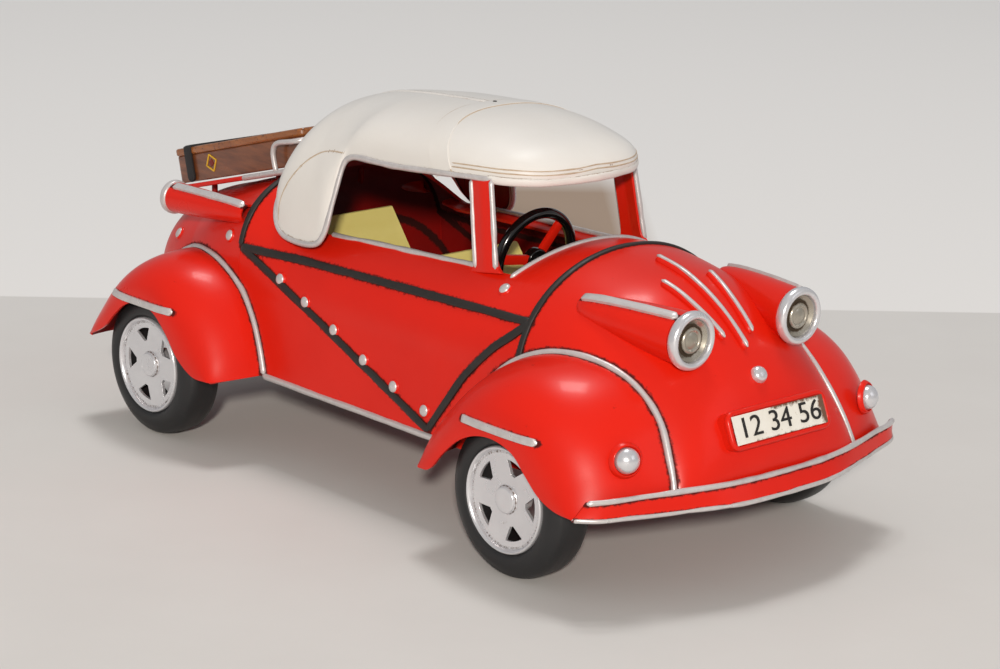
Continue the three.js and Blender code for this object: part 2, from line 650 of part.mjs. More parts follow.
/** The rack: side rails that step up beside the case, cross wires and four feet on the tail. */
function rack() {
  const wire = 0.9;
  const y = CASE.width / 2 + 3.4;
  const [under, over] = [-1.5, 9];
  const [stepAt, end] = [67.4, CASE.length + 2];
  const rail = (side, from, to, up) => rod([0, 0.5, 1].map((t) => {
    const p = onCase(lerp(from, to, t), side * y, up);
    return [p.x, p.y, p.z];
  }), wire, 2, 8);
  const bar = (ahead, up) => rod([-1, 0, 1].map((s) => {
    const p = onCase(ahead, s * (y + wire), up);
    return [p.x, p.y, p.z];
  }), wire, 2, 8);
  const upright = (side) => rod([under - wire, 4, over + wire].map((up) => {
    const p = onCase(stepAt, side * y, up);
    return [p.x, p.y, p.z];
  }), wire, 2, 8);
  const foot = (ahead, side) => {
    const p = onCase(ahead, side * 20, under);
    return rod([0, -5, -10].map((dz) => [p.x, p.y, p.z + dz]), wire * 1.2, 2, 8);
  };
  const sides = [-1, 1].flatMap((side) => [rail(side, -1, stepAt, under), upright(side),
    rail(side, stepAt, end, over), foot(16, side), foot(58, side)]);
  return join(...sides, bar(-1, under), bar(16, under), bar(58, under), bar(end, over));
}
add("luggage_rack", cut(rack(), hullCutter), "silver");

// ---- Cabin --------------------------------------------------------------------------------

/** A seat folded from one sheet: back, cushion and front leg. */
function seat(topX) {
  const footX = topX + (SEAT.topZ - SEAT.footZ) * SEAT.lean;
  const outline = [[topX, SEAT.topZ], [footX, SEAT.footZ], [footX + SEAT.cushion, SEAT.footZ + 2],
    [footX + SEAT.cushion + 2, SILL_Z + 0.2]];
  const s = new THREE.Shape();
  s.moveTo(...outline[0]);
  for (const p of outline.slice(1)) s.lineTo(...p);
  const underside = [[-1.1, 0], [-1.54, -1.6], [-1.54, -1.6], [-1.98, 0]];
  for (let i = 3; i >= 0; i--) s.lineTo(outline[i][0] + underside[i][0], outline[i][1] + underside[i][1]);
  const g = plate(s, 2 * SEAT.halfWidth, 0);
  return closed(g);
}
add("rear_seat", seat(-65.6), "yellow");
add("front_seat", seat(5.5), "yellow");

/** The steering wheel, with three spokes and a hub, and its column down to the dashboard. */
function steering() {
  const ring = new THREE.TorusGeometry(STEERING.radius, STEERING.rim, 8, 28);
  const spokes = [90, 210, 330].map((degrees) => {
    const g = new THREE.BoxGeometry(STEERING.radius, 3.4, 1.4);
    return g.translate(STEERING.radius / 2, 0, 0).rotateZ(THREE.MathUtils.degToRad(degrees));
  });
  const hub = new THREE.CylinderGeometry(3.6, 4.2, 4, 16).rotateX(Math.PI / 2);
  const toCar = (g) =>
    g.rotateY(Math.PI / 2 + STEERING.tilt).translate(STEERING.x, 0, STEERING.z);
  add("steering_wheel", toCar(join(ring, ...spokes, hub)), "black");
  const along = v3(Math.cos(STEERING.tilt), 0, -Math.sin(STEERING.tilt));
  const start = v3(STEERING.x, 0, STEERING.z).addScaledVector(along, 2.4);
  const end = v3(STEERING.x, 0, STEERING.z).addScaledVector(along, 33);
  const middle = start.clone().lerp(end, 0.5);
  add("steering_column", closed(rod([start, middle, end].map((p) => [p.x, p.y, p.z]), 1.6, 2)), "black");
}
steering();

// ---- Wheels and axles ---------------------------------------------------------------------

/** A tyre, turned about the axle, its outer wall at the outer plane. */
function tyre() {
  const [w, r, i] = [WHEEL.width, WHEEL.radius, WHEEL.rim + GAP];
  const profile = [[0.8, i], [0, i + 3.2], [1.1, r - 2.6], [3.6, r - 0.5], [w / 2, r],
    [w - 3.6, r - 0.5], [w - 1.1, r - 2.6], [w, i + 3.2], [w - 0.8, i], [0.8, i]];
  return turned(profile, 28).translate(0, -WHEEL.outer, 0);
}

/** A rim: a barrel with an outer lip, a face with five windows, and a hub around the axle. */
function rim() {
  const r = WHEEL.rim;
  const barrel = turned([[0.2, r - 2], [0.2, r], [WHEEL.width - 1, r], [WHEEL.width - 1, r - 1.2],
    [2.6, r - 1.2], [1.6, r - 2], [0.2, r - 2]], 22);
  const face = new THREE.Shape();
  for (let k = 0; k < 16; k++) {
    const a = (k / 16) * Math.PI * 2;
    if (k === 0) face.moveTo(r - 0.6, 0);
    else face.lineTo((r - 0.6) * Math.cos(a), (r - 0.6) * Math.sin(a));
  }
  face.closePath();
  for (let k = 0; k < 5; k++) {
    const middle = (k / 5) * Math.PI * 2 + 0.6;
    const hole = new THREE.Path();
    hole.absarc(0, 0, r * 0.78, middle - 0.46, middle + 0.46);
    hole.absarc(0, 0, r * 0.42, middle + 0.26, middle - 0.26, true);
    hole.closePath();
    face.holes.push(hole);
  }
  const disc = plate(face, 1.4, 2.6, 3);
  const hub = turned([[1.2, 0], [1.2, 4.4], [2, 5], [9, 5], [9, WHEEL.bore],
    [3.4, WHEEL.bore], [3.4, 0]], 14);
  return join(barrel, disc, hub).translate(0, -WHEEL.outer, 0);
}

/** An axle that ends inside the two hubs. */
function axle() {
  const reach = WHEEL.outer - 3.4 - GAP;
  const g = new THREE.CylinderGeometry(WHEEL.axle, WHEEL.axle, 2 * reach, 12);
  return closed(g);
}

for (const [end, x] of [["front", WHEELBASE / 2], ["rear", -WHEELBASE / 2]]) {
  const place = (g) => g.translate(x, 0, WHEEL.radius);
  const [rightTyre, rightRim] = [place(tyre()), place(rim())];
  add(`right_${end}_tyre`, rightTyre, "tyre");
  add(`left_${end}_tyre`, mirrored(rightTyre), "tyre");
  add(`right_${end}_rim`, closed(rightRim), "silver");
  add(`left_${end}_rim`, mirrored(rightRim), "silver");
  add(`${end}_axle`, place(axle()), "steel");
  addPair(`${end}_axle_bracket`, bracket(x), "darkRed");
}

/** An axle bracket: a plate below the floor, folded out under it, with a hole for the axle. */
function bracket(x) {
  const top = FLOOR.top - FLOOR.thick - GAP;
  const z = WHEEL.radius;
  const shape = new THREE.Shape();
  shape.moveTo(x - 6, top);
  shape.lineTo(x + 6, top);
  shape.lineTo(x + 4.5, z - 4.5);
  shape.lineTo(x - 4.5, z - 4.5);
  shape.closePath();
  shape.holes.push(new THREE.Path().absarc(x, z, WHEEL.bore, 0, Math.PI * 2));
  const web = plate(shape, 1.6, -40);
  const flange = new THREE.BoxGeometry(12, 7, 0.5).translate(x, -37.5, top - 0.25);
  return join(web, flange);
}

// ---- Friction motor -----------------------------------------------------------------------

const reach = (GEAR.module * (GEAR.big + GEAR.small)) / 2 + GEAR.backlash;
const rearAxle = v3(-WHEELBASE / 2, 0, WHEEL.radius);
const lean1 = THREE.MathUtils.degToRad(MOTOR.firstLean);
const lean2 = THREE.MathUtils.degToRad(MOTOR.secondLean);
const step = (from, lean) => from.clone().addScaledVector(v3(Math.cos(lean), 0, Math.sin(lean)), reach);
const counterAxis = step(rearAxle, lean1);
const flywheelAxis = step(counterAxis, lean2);

/** A spur gear outline with trapezoid teeth; the first tooth points at an angle. */
function gearShape(teeth, angle, bore) {
  const pitch = (GEAR.module * teeth) / 2;
  const s = new THREE.Shape();
  const radii = [pitch - 1.15, pitch + 0.9, pitch + 0.9, pitch - 1.15];
  const halves = [-0.62, -0.27, 0.27, 0.62];
  for (let k = 0; k < teeth; k++)
    for (let c = 0; c < 4; c++) {
      const a = angle + ((k + halves[c] * 0.5) / teeth) * Math.PI * 2;
      const p = [radii[c] * Math.cos(a), radii[c] * Math.sin(a)];
      if (k + c === 0) s.moveTo(...p);
      else s.lineTo(...p);
    }
  s.closePath();
  if (bore) s.holes.push(new THREE.Path().absarc(0, 0, bore, 0, Math.PI * 2));
  return s;
}

/** A gear on a shaft parallel to Y: centred at the axis, between y0 and y0 + width. */
function gear(teeth, angle, axis, y0, width, bore) {
  const g = plate(gearShape(teeth, angle, bore), width, y0 + width / 2, 6);
  return g.translate(axis.x, 0, axis.z);
}

const shaft = (axis, y0, y1, radius) =>
  new THREE.CylinderGeometry(radius, radius, y1 - y0, 12).translate(axis.x, (y0 + y1) / 2, axis.z);

const tooth = (count) => (Math.PI * 2) / count;
add("drive_gear", gear(GEAR.big, lean1, rearAxle, -8, GEAR.face, WHEEL.bore), "brass");
add("countershaft", join(
  shaft(counterAxis, -15.5, 15.5, 1.4),
  gear(GEAR.small, lean1 + Math.PI + tooth(GEAR.small) / 2, counterAxis, -8.5, GEAR.face + 1, 0),
  gear(GEAR.big, lean2, counterAxis, 3, GEAR.face, 0)), "brass");
const wheelProfile = [[-26, 0], [-26, 12.5], [-25, 13.5], [-18, 13.5], [-17, 12.5], [-17, 0]];
add("flywheel", join(
  shaft(flywheelAxis, -17.5, 15.5, 1.4),
  gear(GEAR.small, lean2 + Math.PI + tooth(GEAR.small) / 2, flywheelAxis, 2.5, GEAR.face + 1, 0),
  turned(wheelProfile, 28).translate(flywheelAxis.x, 0, flywheelAxis.z)), "steel");

/** The motor frame: two plates joined by three pillars, standing on the floor by folded feet. */
function motorFrame() {
  const side = (y) => {
    const s = new THREE.Shape();
    s.moveTo(-114, 23);
    s.lineTo(-86, 23);
    s.lineTo(-86, 58);
    s.lineTo(-92, 69.5);
    s.lineTo(-108, 69.5);
    s.lineTo(-114, 58);
    s.closePath();
    for (const [axis, r] of [[rearAxle, WHEEL.bore], [counterAxis, 1.8], [flywheelAxis, 1.8]])
      s.holes.push(new THREE.Path().absarc(axis.x, axis.z, r, 0, Math.PI * 2));
    return plate(s, MOTOR.plateThick, y, 6);
  };
  const pillar = (x, z) => shaft(v3(x, 0, z), -MOTOR.plate, MOTOR.plate, 1.3);
  const foot = (y) => new THREE.BoxGeometry(28, 7, 1).translate(-100, y, FLOOR.top + GAP + 0.5);
  return join(side(-MOTOR.plate), side(MOTOR.plate), pillar(-88.2, 60), pillar(-92.5, 65.5),
    pillar(-88.2, 45), foot(-MOTOR.plate - 3.4), foot(MOTOR.plate + 3.4));
}
add("motor_frame", motorFrame(), "steel");

car.position.x = CENTRE_SHIFT;
export default car;
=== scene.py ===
"""Friction tin car: a tandem bubble coupe in hand-soldered tinplate, with a cream hard top.

Lengths are millimetres in the maker's frame, where x = 0 lies midway between the axles, +x is the
nose, +y the left side and +z up. to_frame() turns them into metres in the shared frame.
"""

import logging
import math
from collections.abc import Iterable, Sequence
from dataclasses import dataclass
from enum import Enum

import bmesh
import bpy
import numpy as np
from mathutils import Matrix, Vector
from mathutils.bvhtree import BVHTree


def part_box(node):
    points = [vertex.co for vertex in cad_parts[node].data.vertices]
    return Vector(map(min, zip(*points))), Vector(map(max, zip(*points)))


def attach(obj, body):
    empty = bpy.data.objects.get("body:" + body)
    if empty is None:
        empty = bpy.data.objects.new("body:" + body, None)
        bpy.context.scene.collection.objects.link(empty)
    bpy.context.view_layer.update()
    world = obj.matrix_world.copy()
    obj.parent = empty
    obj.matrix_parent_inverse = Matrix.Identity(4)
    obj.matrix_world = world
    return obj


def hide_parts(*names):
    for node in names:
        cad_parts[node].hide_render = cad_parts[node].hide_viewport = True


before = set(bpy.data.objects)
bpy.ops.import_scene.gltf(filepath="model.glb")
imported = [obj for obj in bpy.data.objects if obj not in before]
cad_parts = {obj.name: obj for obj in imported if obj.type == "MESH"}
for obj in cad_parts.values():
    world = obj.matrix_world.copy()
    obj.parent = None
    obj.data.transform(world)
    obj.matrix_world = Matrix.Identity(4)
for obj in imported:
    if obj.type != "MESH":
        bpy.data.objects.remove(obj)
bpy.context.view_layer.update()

MM = 0.001
LOG = logging.getLogger("tin_car")

Tree = bpy.types.NodeTree
Socket = bpy.types.NodeSocket
Triple = tuple[float, float, float]
# Points on a surface, and the surface's normals there.
Laid = tuple[np.ndarray, np.ndarray]
# Lines that thinned paint gathers along, each with its reach in mm.
Seams = tuple[tuple[np.ndarray, float], ...]


def axle_middle() -> float:
    """Returns the place of x = 0 in the shared frame, in metres: midway between the axles."""
    ends = [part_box("front_axle"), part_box("rear_axle")]
    return sum((low.x + high.x) / 2 for low, high in ends) / 2


SHIFT = axle_middle()


# ---- Small tools ------------------------------------------------------------------------------


class Side(Enum):
    """The two sides of the car, by the sign of y."""

    RIGHT = -1
    LEFT = 1

    @property
    def word(self) -> str:
        """The side's name, as piece names begin."""
        return self.name.lower()


class Section(Enum):
    """The cross section of a swept trim line: the power that its corners are rounded with."""

    ROUND = 1.0
    SOFT = 0.6
    FLAT = 0.3


def to_frame(points: np.ndarray) -> np.ndarray:
    """Turns millimetres in the maker's frame into metres in the shared frame."""
    return np.asarray(points, float) * MM + np.array([SHIFT, 0.0, 0.0])


def linear(colour: str, alpha: float = 1.0) -> tuple[float, float, float, float]:
    """Turns an sRGB hex colour into linear light.

    Args:
        colour: "#rrggbb".
        alpha: the fourth number.

    Returns:
        Red, green, blue and alpha.
    """
    parts = [int(colour[i : i + 2], 16) / 255 for i in (1, 3, 5)]
    light = [c / 12.92 if c <= 0.04045 else ((c + 0.055) / 1.055) ** 2.4 for c in parts]
    return (*light, alpha)


def unit(vectors: np.ndarray) -> np.ndarray:
    """Scales vectors to length one."""
    return vectors / np.maximum(np.linalg.norm(vectors, axis=-1, keepdims=True), 1e-9)


def smoothstep(value: np.ndarray, low: float, high: float) -> np.ndarray:
    """Eases from 0 at low to 1 at high."""
    t = np.clip((value - low) / (high - low), 0, 1)
    return t * t * (3 - 2 * t)


@dataclass(frozen=True)
class Line:
    """A smooth line through a few points, by the centripetal Catmull-Rom rule."""

    points: tuple[Triple, ...]

    def at(self, share: np.ndarray) -> np.ndarray:
        """Finds points of the line.

        Args:
            share: places from 0, the first point, to 1, the last.

        Returns:
            One row of x, y, z for each place.
        """
        p = np.array(self.points, float)
        ends = np.vstack([2 * p[0] - p[1], p, 2 * p[-1] - p[-2]])
        place = np.clip(np.atleast_1d(share), 0, 1) * (len(p) - 1)
        k = np.minimum(place.astype(int), len(p) - 2)
        t = (place - k)[:, None]
        a, b, c, d = (ends[k + i] for i in range(4))
        ab, bc, cd = (np.linalg.norm(q - r, axis=1)[:, None] ** 0.5 for q, r in ((b, a), (c, b), (d, c)))
        start = ((b - a) / ab - (c - a) / (ab + bc) + (c - b) / bc) * bc
        stop = ((c - b) / bc - (d - b) / (bc + cd) + (d - c) / cd) * bc
        return b + start * t + (3 * (c - b) - 2 * start - stop) * t**2 + (2 * (b - c) + start + stop) * t**3

    def even(self, spacing: float, low: float = 0.0, high: float = 1.0) -> np.ndarray:
        """Points of the line at even distances, from share low to share high."""
        return resample(self.at(np.linspace(low, high, 40 * len(self.points))), spacing)


def resample(points: np.ndarray, spacing: float) -> np.ndarray:
    """Spreads points evenly along a polyline.

    Args:
        points: the polyline.
        spacing: about how far apart the points lie, in mm.

    Returns:
        The new points, with the same two ends.
    """
    points = np.asarray(points, float)
    run = np.concatenate([[0], np.cumsum(np.linalg.norm(np.diff(points, axis=0), axis=1))])
    count = max(3, int(round(run[-1] / spacing)) + 1)
    stops = np.linspace(0, run[-1], count)
    return np.stack([np.interp(stops, run, points[:, i]) for i in range(3)], axis=1)


def rib(
    crown: np.ndarray, wide: np.ndarray, sill: np.ndarray, power: float, columns: int, drop: int,
) -> np.ndarray:
    """Lays a half rib: a quarter of a superellipse, then straight down.

    Args:
        crown: the top, on the centre line.
        wide: the widest point.
        sill: the foot, below the widest point.
        power: of the superellipse; 2 is an ellipse, and more is boxier.
        columns: how many steps from the crown to the widest point.
        drop: how many steps from there to the sill.

    Returns:
        The points, from the crown to the sill.
    """
    angle = np.linspace(0, math.pi / 2, columns + 1)
    out = np.sin(angle) ** (2 / power)
    down = 1 - np.cos(angle) ** (2 / power)
    share = np.stack([down, out, down], axis=1)
    curve = crown + (wide - crown) * share
    straight = wide + (sill - wide) * (np.arange(1, drop + 1) / max(drop, 1))[:, None]
    return np.vstack([curve, straight])


def both_sides(half: np.ndarray) -> np.ndarray:
    """Both halves of a rib, from the right sill over the crown to the left sill."""
    return np.vstack([(half * [1, -1, 1])[::-1], half[1:]])


def grid_faces(rows: int, columns: int, ring: bool = False) -> list[tuple[int, ...]]:
    """Joins a grid of points with quads; a ring also joins its last column to its first."""
    faces = []
    for i in range(rows - 1):
        for j in range(columns if ring else columns - 1):
            k = (j + 1) % columns
            faces.append((i * columns + j, (i + 1) * columns + j, (i + 1) * columns + k, i * columns + k))
    return faces


@dataclass
class Shape:
    """Points in mm and the faces between them."""

    points: np.ndarray
    faces: list[tuple[int, ...]]

    @staticmethod
    def of_grid(grid: np.ndarray, inside: Sequence[float]) -> "Shape":
        """Makes an open sheet from a grid, with its faces turned away from an inside point."""
        rows, columns = grid.shape[:2]
        i, j = rows // 2, columns // 2
        normal = np.cross(grid[i + 1, j] - grid[i, j], grid[i, j + 1] - grid[i, j])
        faces = grid_faces(rows, columns)
        if np.dot(normal, grid[i, j] - np.array(inside, float)) < 0:
            faces = [f[::-1] for f in faces]
        return Shape(grid.reshape(-1, 3), faces)

    def on(self, side: Side) -> "Shape":
        """The shape on a side of the car: it is drawn on the right, and mirrored to the left."""
        if side is Side.RIGHT:
            return self
        return Shape(self.points * [1, -1, 1], [f[::-1] for f in self.faces])

    def joined(self, others: Iterable["Shape"]) -> "Shape":
        """One shape with several bodies."""
        points, faces = [self.points], list(self.faces)
        count = len(self.points)
        for other in others:
            points.append(other.points)
            faces += [tuple(v + count for v in f) for f in other.faces]
            count += len(other.points)
        return Shape(np.vstack(points), faces)

    def tree(self) -> BVHTree:
        """A search tree of the shape's faces."""
        return BVHTree.FromPolygons([tuple(p) for p in self.points], self.faces)


def waves(count: int, spacing: float, length: float, seed: int) -> np.ndarray:
    """Smooth unevenness along a line, as a hand leaves it.

    Args:
        count: how many points the line has.
        spacing: how far apart they are, in mm.
        length: how long a wave is, in mm.
        seed: of the random draw.

    Returns:
        One number for each point, mostly between -1 and 1.
    """
    knots = max(4, int(count * spacing / length) + 2)
    draw = np.random.default_rng(seed).normal(0, 0.55, knots)
    return np.interp(np.linspace(0, knots - 1, count), np.arange(knots), draw)


def sweep(
    path: np.ndarray, normals: np.ndarray, width: float, height: float,
    section: Section = Section.ROUND, seed: int = 0, uneven: float = 0.0, blunt: bool = True,
) -> Shape:
    """Lays a bead or strip along a path on a surface.

    Args:
        path: evenly spaced points, in mm.
        normals: the surface's normals there, or one for them all.
        width: across the path.
        height: above the path; as much lies below it.
        section: the shape of the cross section.
        seed: of the unevenness.
        uneven: the share by which the width wanders.
        blunt: whether the ends are rounded off rather than cut.

    Returns:
        The closed bead.
    """
    sides = 12
    spacing = float(np.linalg.norm(path[1] - path[0]))
    along = unit(np.gradient(path, axis=0))
    across = unit(np.cross(np.broadcast_to(normals, path.shape), along))
    up = unit(np.cross(along, across))
    count = len(path)
    wander = 1 + uneven * waves(count, spacing, 5.0, seed)
    drift = uneven * 0.35 * width * waves(count, spacing, 9.0, seed + 1)
    size = np.ones(count)
    if blunt:
        reach = np.minimum(np.arange(count), np.arange(count)[::-1]) * spacing
        size = np.sqrt(np.clip(1 - (1 - np.clip(reach / (width * 0.5), 0, 1)) ** 2, 0.08, 1))
    angle = np.arange(sides) / sides * 2 * math.pi
    c = np.sign(np.cos(angle)) * np.abs(np.cos(angle)) ** section.value
    s = np.sign(np.sin(angle)) * np.abs(np.sin(angle)) ** section.value
    half = (width / 2 * wander * size)[:, None, None]
    tall = (height * (0.5 + 0.5 * wander) * size)[:, None, None]
    rings = (
        path[:, None] + (drift[:, None] * across)[:, None]
        + half * c[None, :, None] * across[:, None] + tall * s[None, :, None] * up[:, None]
    )
    faces = grid_faces(count, sides, ring=True)
    faces += [tuple(range(sides)), tuple(range((count - 1) * sides, count * sides))[::-1]]
    return Shape(rings.reshape(-1, 3), faces)


def tube(path: np.ndarray, radius: float, seed: int = 0, uneven: float = 0.0, blunt: bool = True) -> Shape:
    """A round wire or bar along a path."""
    along = unit(np.gradient(path, axis=0))
    guide = np.array([0.0, 0.0, 1.0]) if abs(along[:, 2]).max() < 0.9 else np.array([0.3, 1.0, 0.1])
    normals = unit(np.cross(along, np.cross(guide, along)))
    return sweep(path, normals, 2 * radius, radius, Section.ROUND, seed, uneven, blunt)


def tapered(share: np.ndarray, angle: np.ndarray, mouth: float, tip: float) -> np.ndarray:
    """How far a bullet-shaped skin stands off its axis, which runs along x.

    Args:
        share: from 0 at the mouth to 1 at the tip.
        angle: round the axis, from +y towards +z.
        mouth: the radius at the mouth.
        tip: the radius at the tip.

    Returns:
        One offset for each pair of share and angle.
    """
    share = np.asarray(share, float)[..., None]
    angle = np.asarray(angle, float)
    ring = np.stack([np.zeros_like(angle), np.cos(angle), np.sin(angle)], axis=-1)
    return ring * (tip + (mouth - tip) * (np.sqrt(1 - share**2) * 0.6 + (1 - share) * 0.4))


def cast(tree: BVHTree, origins: np.ndarray, rays: np.ndarray, near: np.ndarray) -> Laid:
    """Casts points onto a surface.

    Args:
        tree: the surface.
        origins: where the rays start.
        rays: which way they go.
        near: where the surface is looked for when a ray misses it.

    Returns:
        Where the rays land, and the normals there, facing back along the rays.
    """
    places, normals = [], []
    for origin, ray, middle in zip(origins, rays, near):
        ray = Vector(ray).normalized()
        place, normal, _, _ = tree.ray_cast(Vector(origin), ray)
        if place is None:
            place, normal, _, _ = tree.find_nearest(Vector(middle))
        places.append(place[:])
        normals.append((normal if normal.dot(ray) < 0 else -normal)[:])
    return np.array(places), unit(np.array(normals))


def turned(profile: Sequence[tuple[float, float]], segments: int, fine: int = 1) -> Shape:
    """Turns a closed profile about the y axis.

    Args:
        profile: pairs of y and radius, from the axis or round back to the first pair.
        segments: how many steps round the axis.
        fine: how many points the smooth profile has for each pair; 1 keeps its corners.

    Returns:
        The turned body.
    """
    line = np.array([(y, r, 0.0) for y, r in profile])
    if fine > 1:
        line = Line(tuple(map(tuple, line))).at(np.linspace(0, 1, fine * len(line)))
    angle = np.arange(segments) / segments * 2 * math.pi
    ring = np.stack([np.sin(angle), np.zeros(segments), np.cos(angle)], axis=1)
    grid = line[:, None, 1:2] * ring[None] + np.array([0.0, 1.0, 0.0]) * line[:, None, 0:1]
    shape = Shape(grid.reshape(-1, 3), grid_faces(len(line), segments, ring=True))
    return clean(shape)


def clean(shape: Shape) -> Shape:
    """Welds points that meet, drops flat faces and turns all faces outwards."""
    mesh = bpy.data.meshes.new("scratch")
    mesh.from_pydata([tuple(p) for p in shape.points], [], shape.faces)
    edit = bmesh.new()
    edit.from_mesh(mesh)
    bmesh.ops.remove_doubles(edit, verts=edit.verts, dist=1e-4)
    bmesh.ops.dissolve_degenerate(edit, edges=edit.edges, dist=1e-5)
    bmesh.ops.recalc_face_normals(edit, faces=edit.faces)
    edit.verts.index_update()
    points = np.array([v.co[:] for v in edit.verts])
    faces = [tuple(v.index for v in f.verts) for f in edit.faces]
    edit.free()
    bpy.data.meshes.remove(mesh)
    return Shape(points, faces)


def placed(shape: Shape, centre: Sequence[float], facing: Sequence[float]) -> Shape:
    """Moves a body turned about +y so that it stands at a centre and faces a direction."""
    turn = Vector((0, 1, 0)).rotation_difference(Vector(facing).normalized()).to_matrix()
    return Shape(shape.points @ np.array(turn).T + np.array(centre, float), shape.faces)


def slab(width: float, height: float, depth: float, corner: float, steps: int = 6) -> Shape:
    """A flat block in x (width) and y (height) with rounded corners, from z = 0 to z = depth."""
    ring = []
    for k, (sx, sy) in enumerate(((1, 1), (-1, 1), (-1, -1), (1, -1))):
        for a in np.linspace(k * math.pi / 2, (k + 1) * math.pi / 2, steps):
            x = sx * (width / 2 - corner) + corner * math.cos(a)
            ring.append((x, sy * (height / 2 - corner) + corner * math.sin(a)))
    count = len(ring)
    points = [(x, y, z) for z in (0.0, depth) for x, y in ring]
    faces = [(i, (i + 1) % count, count + (i + 1) % count, count + i) for i in range(count)]
    faces += [tuple(range(count))[::-1], tuple(range(count, 2 * count))]
    return Shape(np.array(points), faces)


def seated(shape: Shape, centre: Sequence[float], right: Sequence[float], up: Sequence[float]) -> Shape:
    """Moves a slab so that its x runs along right, its y along up, and its depth away from both."""
    axes = np.array([right, up, np.cross(right, up)], float)
    return Shape(shape.points @ unit(axes) + np.array(centre, float), shape.faces)


# ---- Finishes ---------------------------------------------------------------------------------


def add_node(
    tree: Tree, kind: str,
    settings: dict[str, object] | None = None, sockets: dict[str | int, object] | None = None,
) -> bpy.types.Node:
    """Adds a node.

    Args:
        tree: the material's nodes.
        kind: the node's type name, without "ShaderNode".
        settings: its own settings, by name.
        sockets: a value for each input, or the output that is linked to it.

    Returns:
        The node.
    """
    made = tree.nodes.new("ShaderNode" + kind)
    for name, value in (settings or {}).items():
        setattr(made, name, value)
    for name, value in (sockets or {}).items():
        if isinstance(value, Socket):
            tree.links.new(value, made.inputs[name])
        else:
            made.inputs[name].default_value = value
    return made


def per_metre(size_mm: float) -> float:
    """The noise scale that makes features of a size in mm, in coordinates of metres."""
    return 1 / (size_mm * MM)


def noise(tree: Tree, place: Socket, size_mm: float, detail: float, roughness: float) -> Socket:
    """Adds a noise with features of a size in mm."""
    return add_node(tree, "TexNoise", sockets={
        "Vector": place, "Scale": per_metre(size_mm), "Detail": detail, "Roughness": roughness}).outputs["Fac"]


def remap(tree: Tree, value: Socket, low: float, high: float, first: float = 0.0, last: float = 1.0) -> Socket:
    """Adds a clamped change from the range low to high to the range first to last."""
    return add_node(tree, "MapRange", {"clamp": True}, {
        "Value": value, "From Min": low, "From Max": high, "To Min": first, "To Max": last}).outputs["Result"]


def blend(tree: Tree, share: Socket, first: object, second: object) -> Socket:
    """Adds a mix of two colours: the first where the share is 0, the second where it is 1."""
    return add_node(tree, "Mix", {"data_type": "RGBA"}, {0: share, 6: first, 7: second}).outputs[2]


@dataclass(frozen=True)
class Finish:
    """A surface with a colour that varies, wear in its seams, and a fine relief.

    The wear comes from each mesh's own "wash" numbers, which are high along its seams.
    """

    name: str
    colour: str
    second: str
    patch_mm: float = 14.0
    patch_share: float = 0.35
    wash: str = "#1d0b07"
    wash_share: float = 0.9
    roughness: float = 0.4
    spread: float = 0.08
    metallic: float = 0.0
    coat: float = 0.0
    coat_roughness: float = 0.1
    relief_mm: float = 1.2
    relief_depth_mm: float = 0.01
    specks: str = ""
    speck_mm: float = 2.0
    speck_share: float = 0.0
    stretch: Triple = (1.0, 1.0, 1.0)
    specular: float = 0.5

    def make(self) -> bpy.types.Material:
        """Builds the material once, and returns the same one after that."""
        found = bpy.data.materials.get(self.name)
        if found:
            return found
        material = bpy.data.materials.new(self.name)
        material.use_nodes = True
        tree = material.node_tree
        shader = tree.nodes["Principled BSDF"]
        place = add_node(tree, "TexCoord").outputs["Object"]
        grain = add_node(tree, "Mapping", sockets={"Vector": place, "Scale": self.stretch}).outputs["Vector"]
        patches = noise(tree, grain, self.patch_mm, 5.0, 0.6)
        soft = remap(tree, patches, 0.5 - 0.5 * self.patch_share, 0.5 + 0.6 * (1 - self.patch_share) + 0.1)
        colour = blend(tree, soft, linear(self.colour), linear(self.second))
        if self.specks:
            colour = self.speckled(tree, place, colour)
        colour, worn = self.washed(tree, place, colour)
        tree.links.new(colour, shader.inputs["Base Color"])
        fine = noise(tree, grain, self.relief_mm, 4.0, 0.55)
        rough = remap(tree, patches, 0.3, 0.7, self.roughness - self.spread, self.roughness + self.spread)
        rough = add_node(tree, "Mix", {"data_type": "FLOAT"}, {0: worn, 2: rough, 3: 0.8}).outputs[0]
        tree.links.new(rough, shader.inputs["Roughness"])
        bump = add_node(tree, "Bump", sockets={
            "Height": fine, "Strength": 0.6, "Distance": self.relief_depth_mm * MM}).outputs["Normal"]
        tree.links.new(bump, shader.inputs["Normal"])
        shader.inputs["Metallic"].default_value = self.metallic
        shader.inputs["Coat Weight"].default_value = self.coat
        shader.inputs["Coat Roughness"].default_value = self.coat_roughness
        shader.inputs["Specular IOR Level"].default_value = self.specular
        return material

    def speckled(self, tree: Tree, place: Socket, colour: Socket) -> Socket:
        """Scatters small marks over the colour.

        Args:
            tree: the material's nodes.
            place: the coordinates.
            colour: the colour so far.

        Returns:
            The colour with its marks.
        """
        marks = noise(tree, place, self.speck_mm, 6.0, 0.7)
        mask = remap(tree, marks, 0.72 - 0.35 * self.speck_share, 0.8 - 0.3 * self.speck_share)
        return blend(tree, mask, colour, linear(self.specks))

    def washed(self, tree: Tree, place: Socket, colour: Socket) -> tuple[Socket, Socket]:
        """Darkens the colour along the seams, in broken streaks.

        Args:
            tree: the material's nodes.
            place: the coordinates.
            colour: the colour so far.

        Returns:
            The washed colour, and how worn the surface is.
        """
        seam = add_node(tree, "Attribute", {"attribute_name": "wash"}).outputs["Fac"]
        broken = noise(tree, place, 1.6, 6.0, 0.65)
        level = add_node(tree, "Math", {"operation": "ADD"}, {0: seam, 1: broken}).outputs[0]
        worn = remap(tree, level, 0.84, 1.12, 0.0, self.wash_share)
        return blend(tree, worn, colour, linear(self.wash)), worn


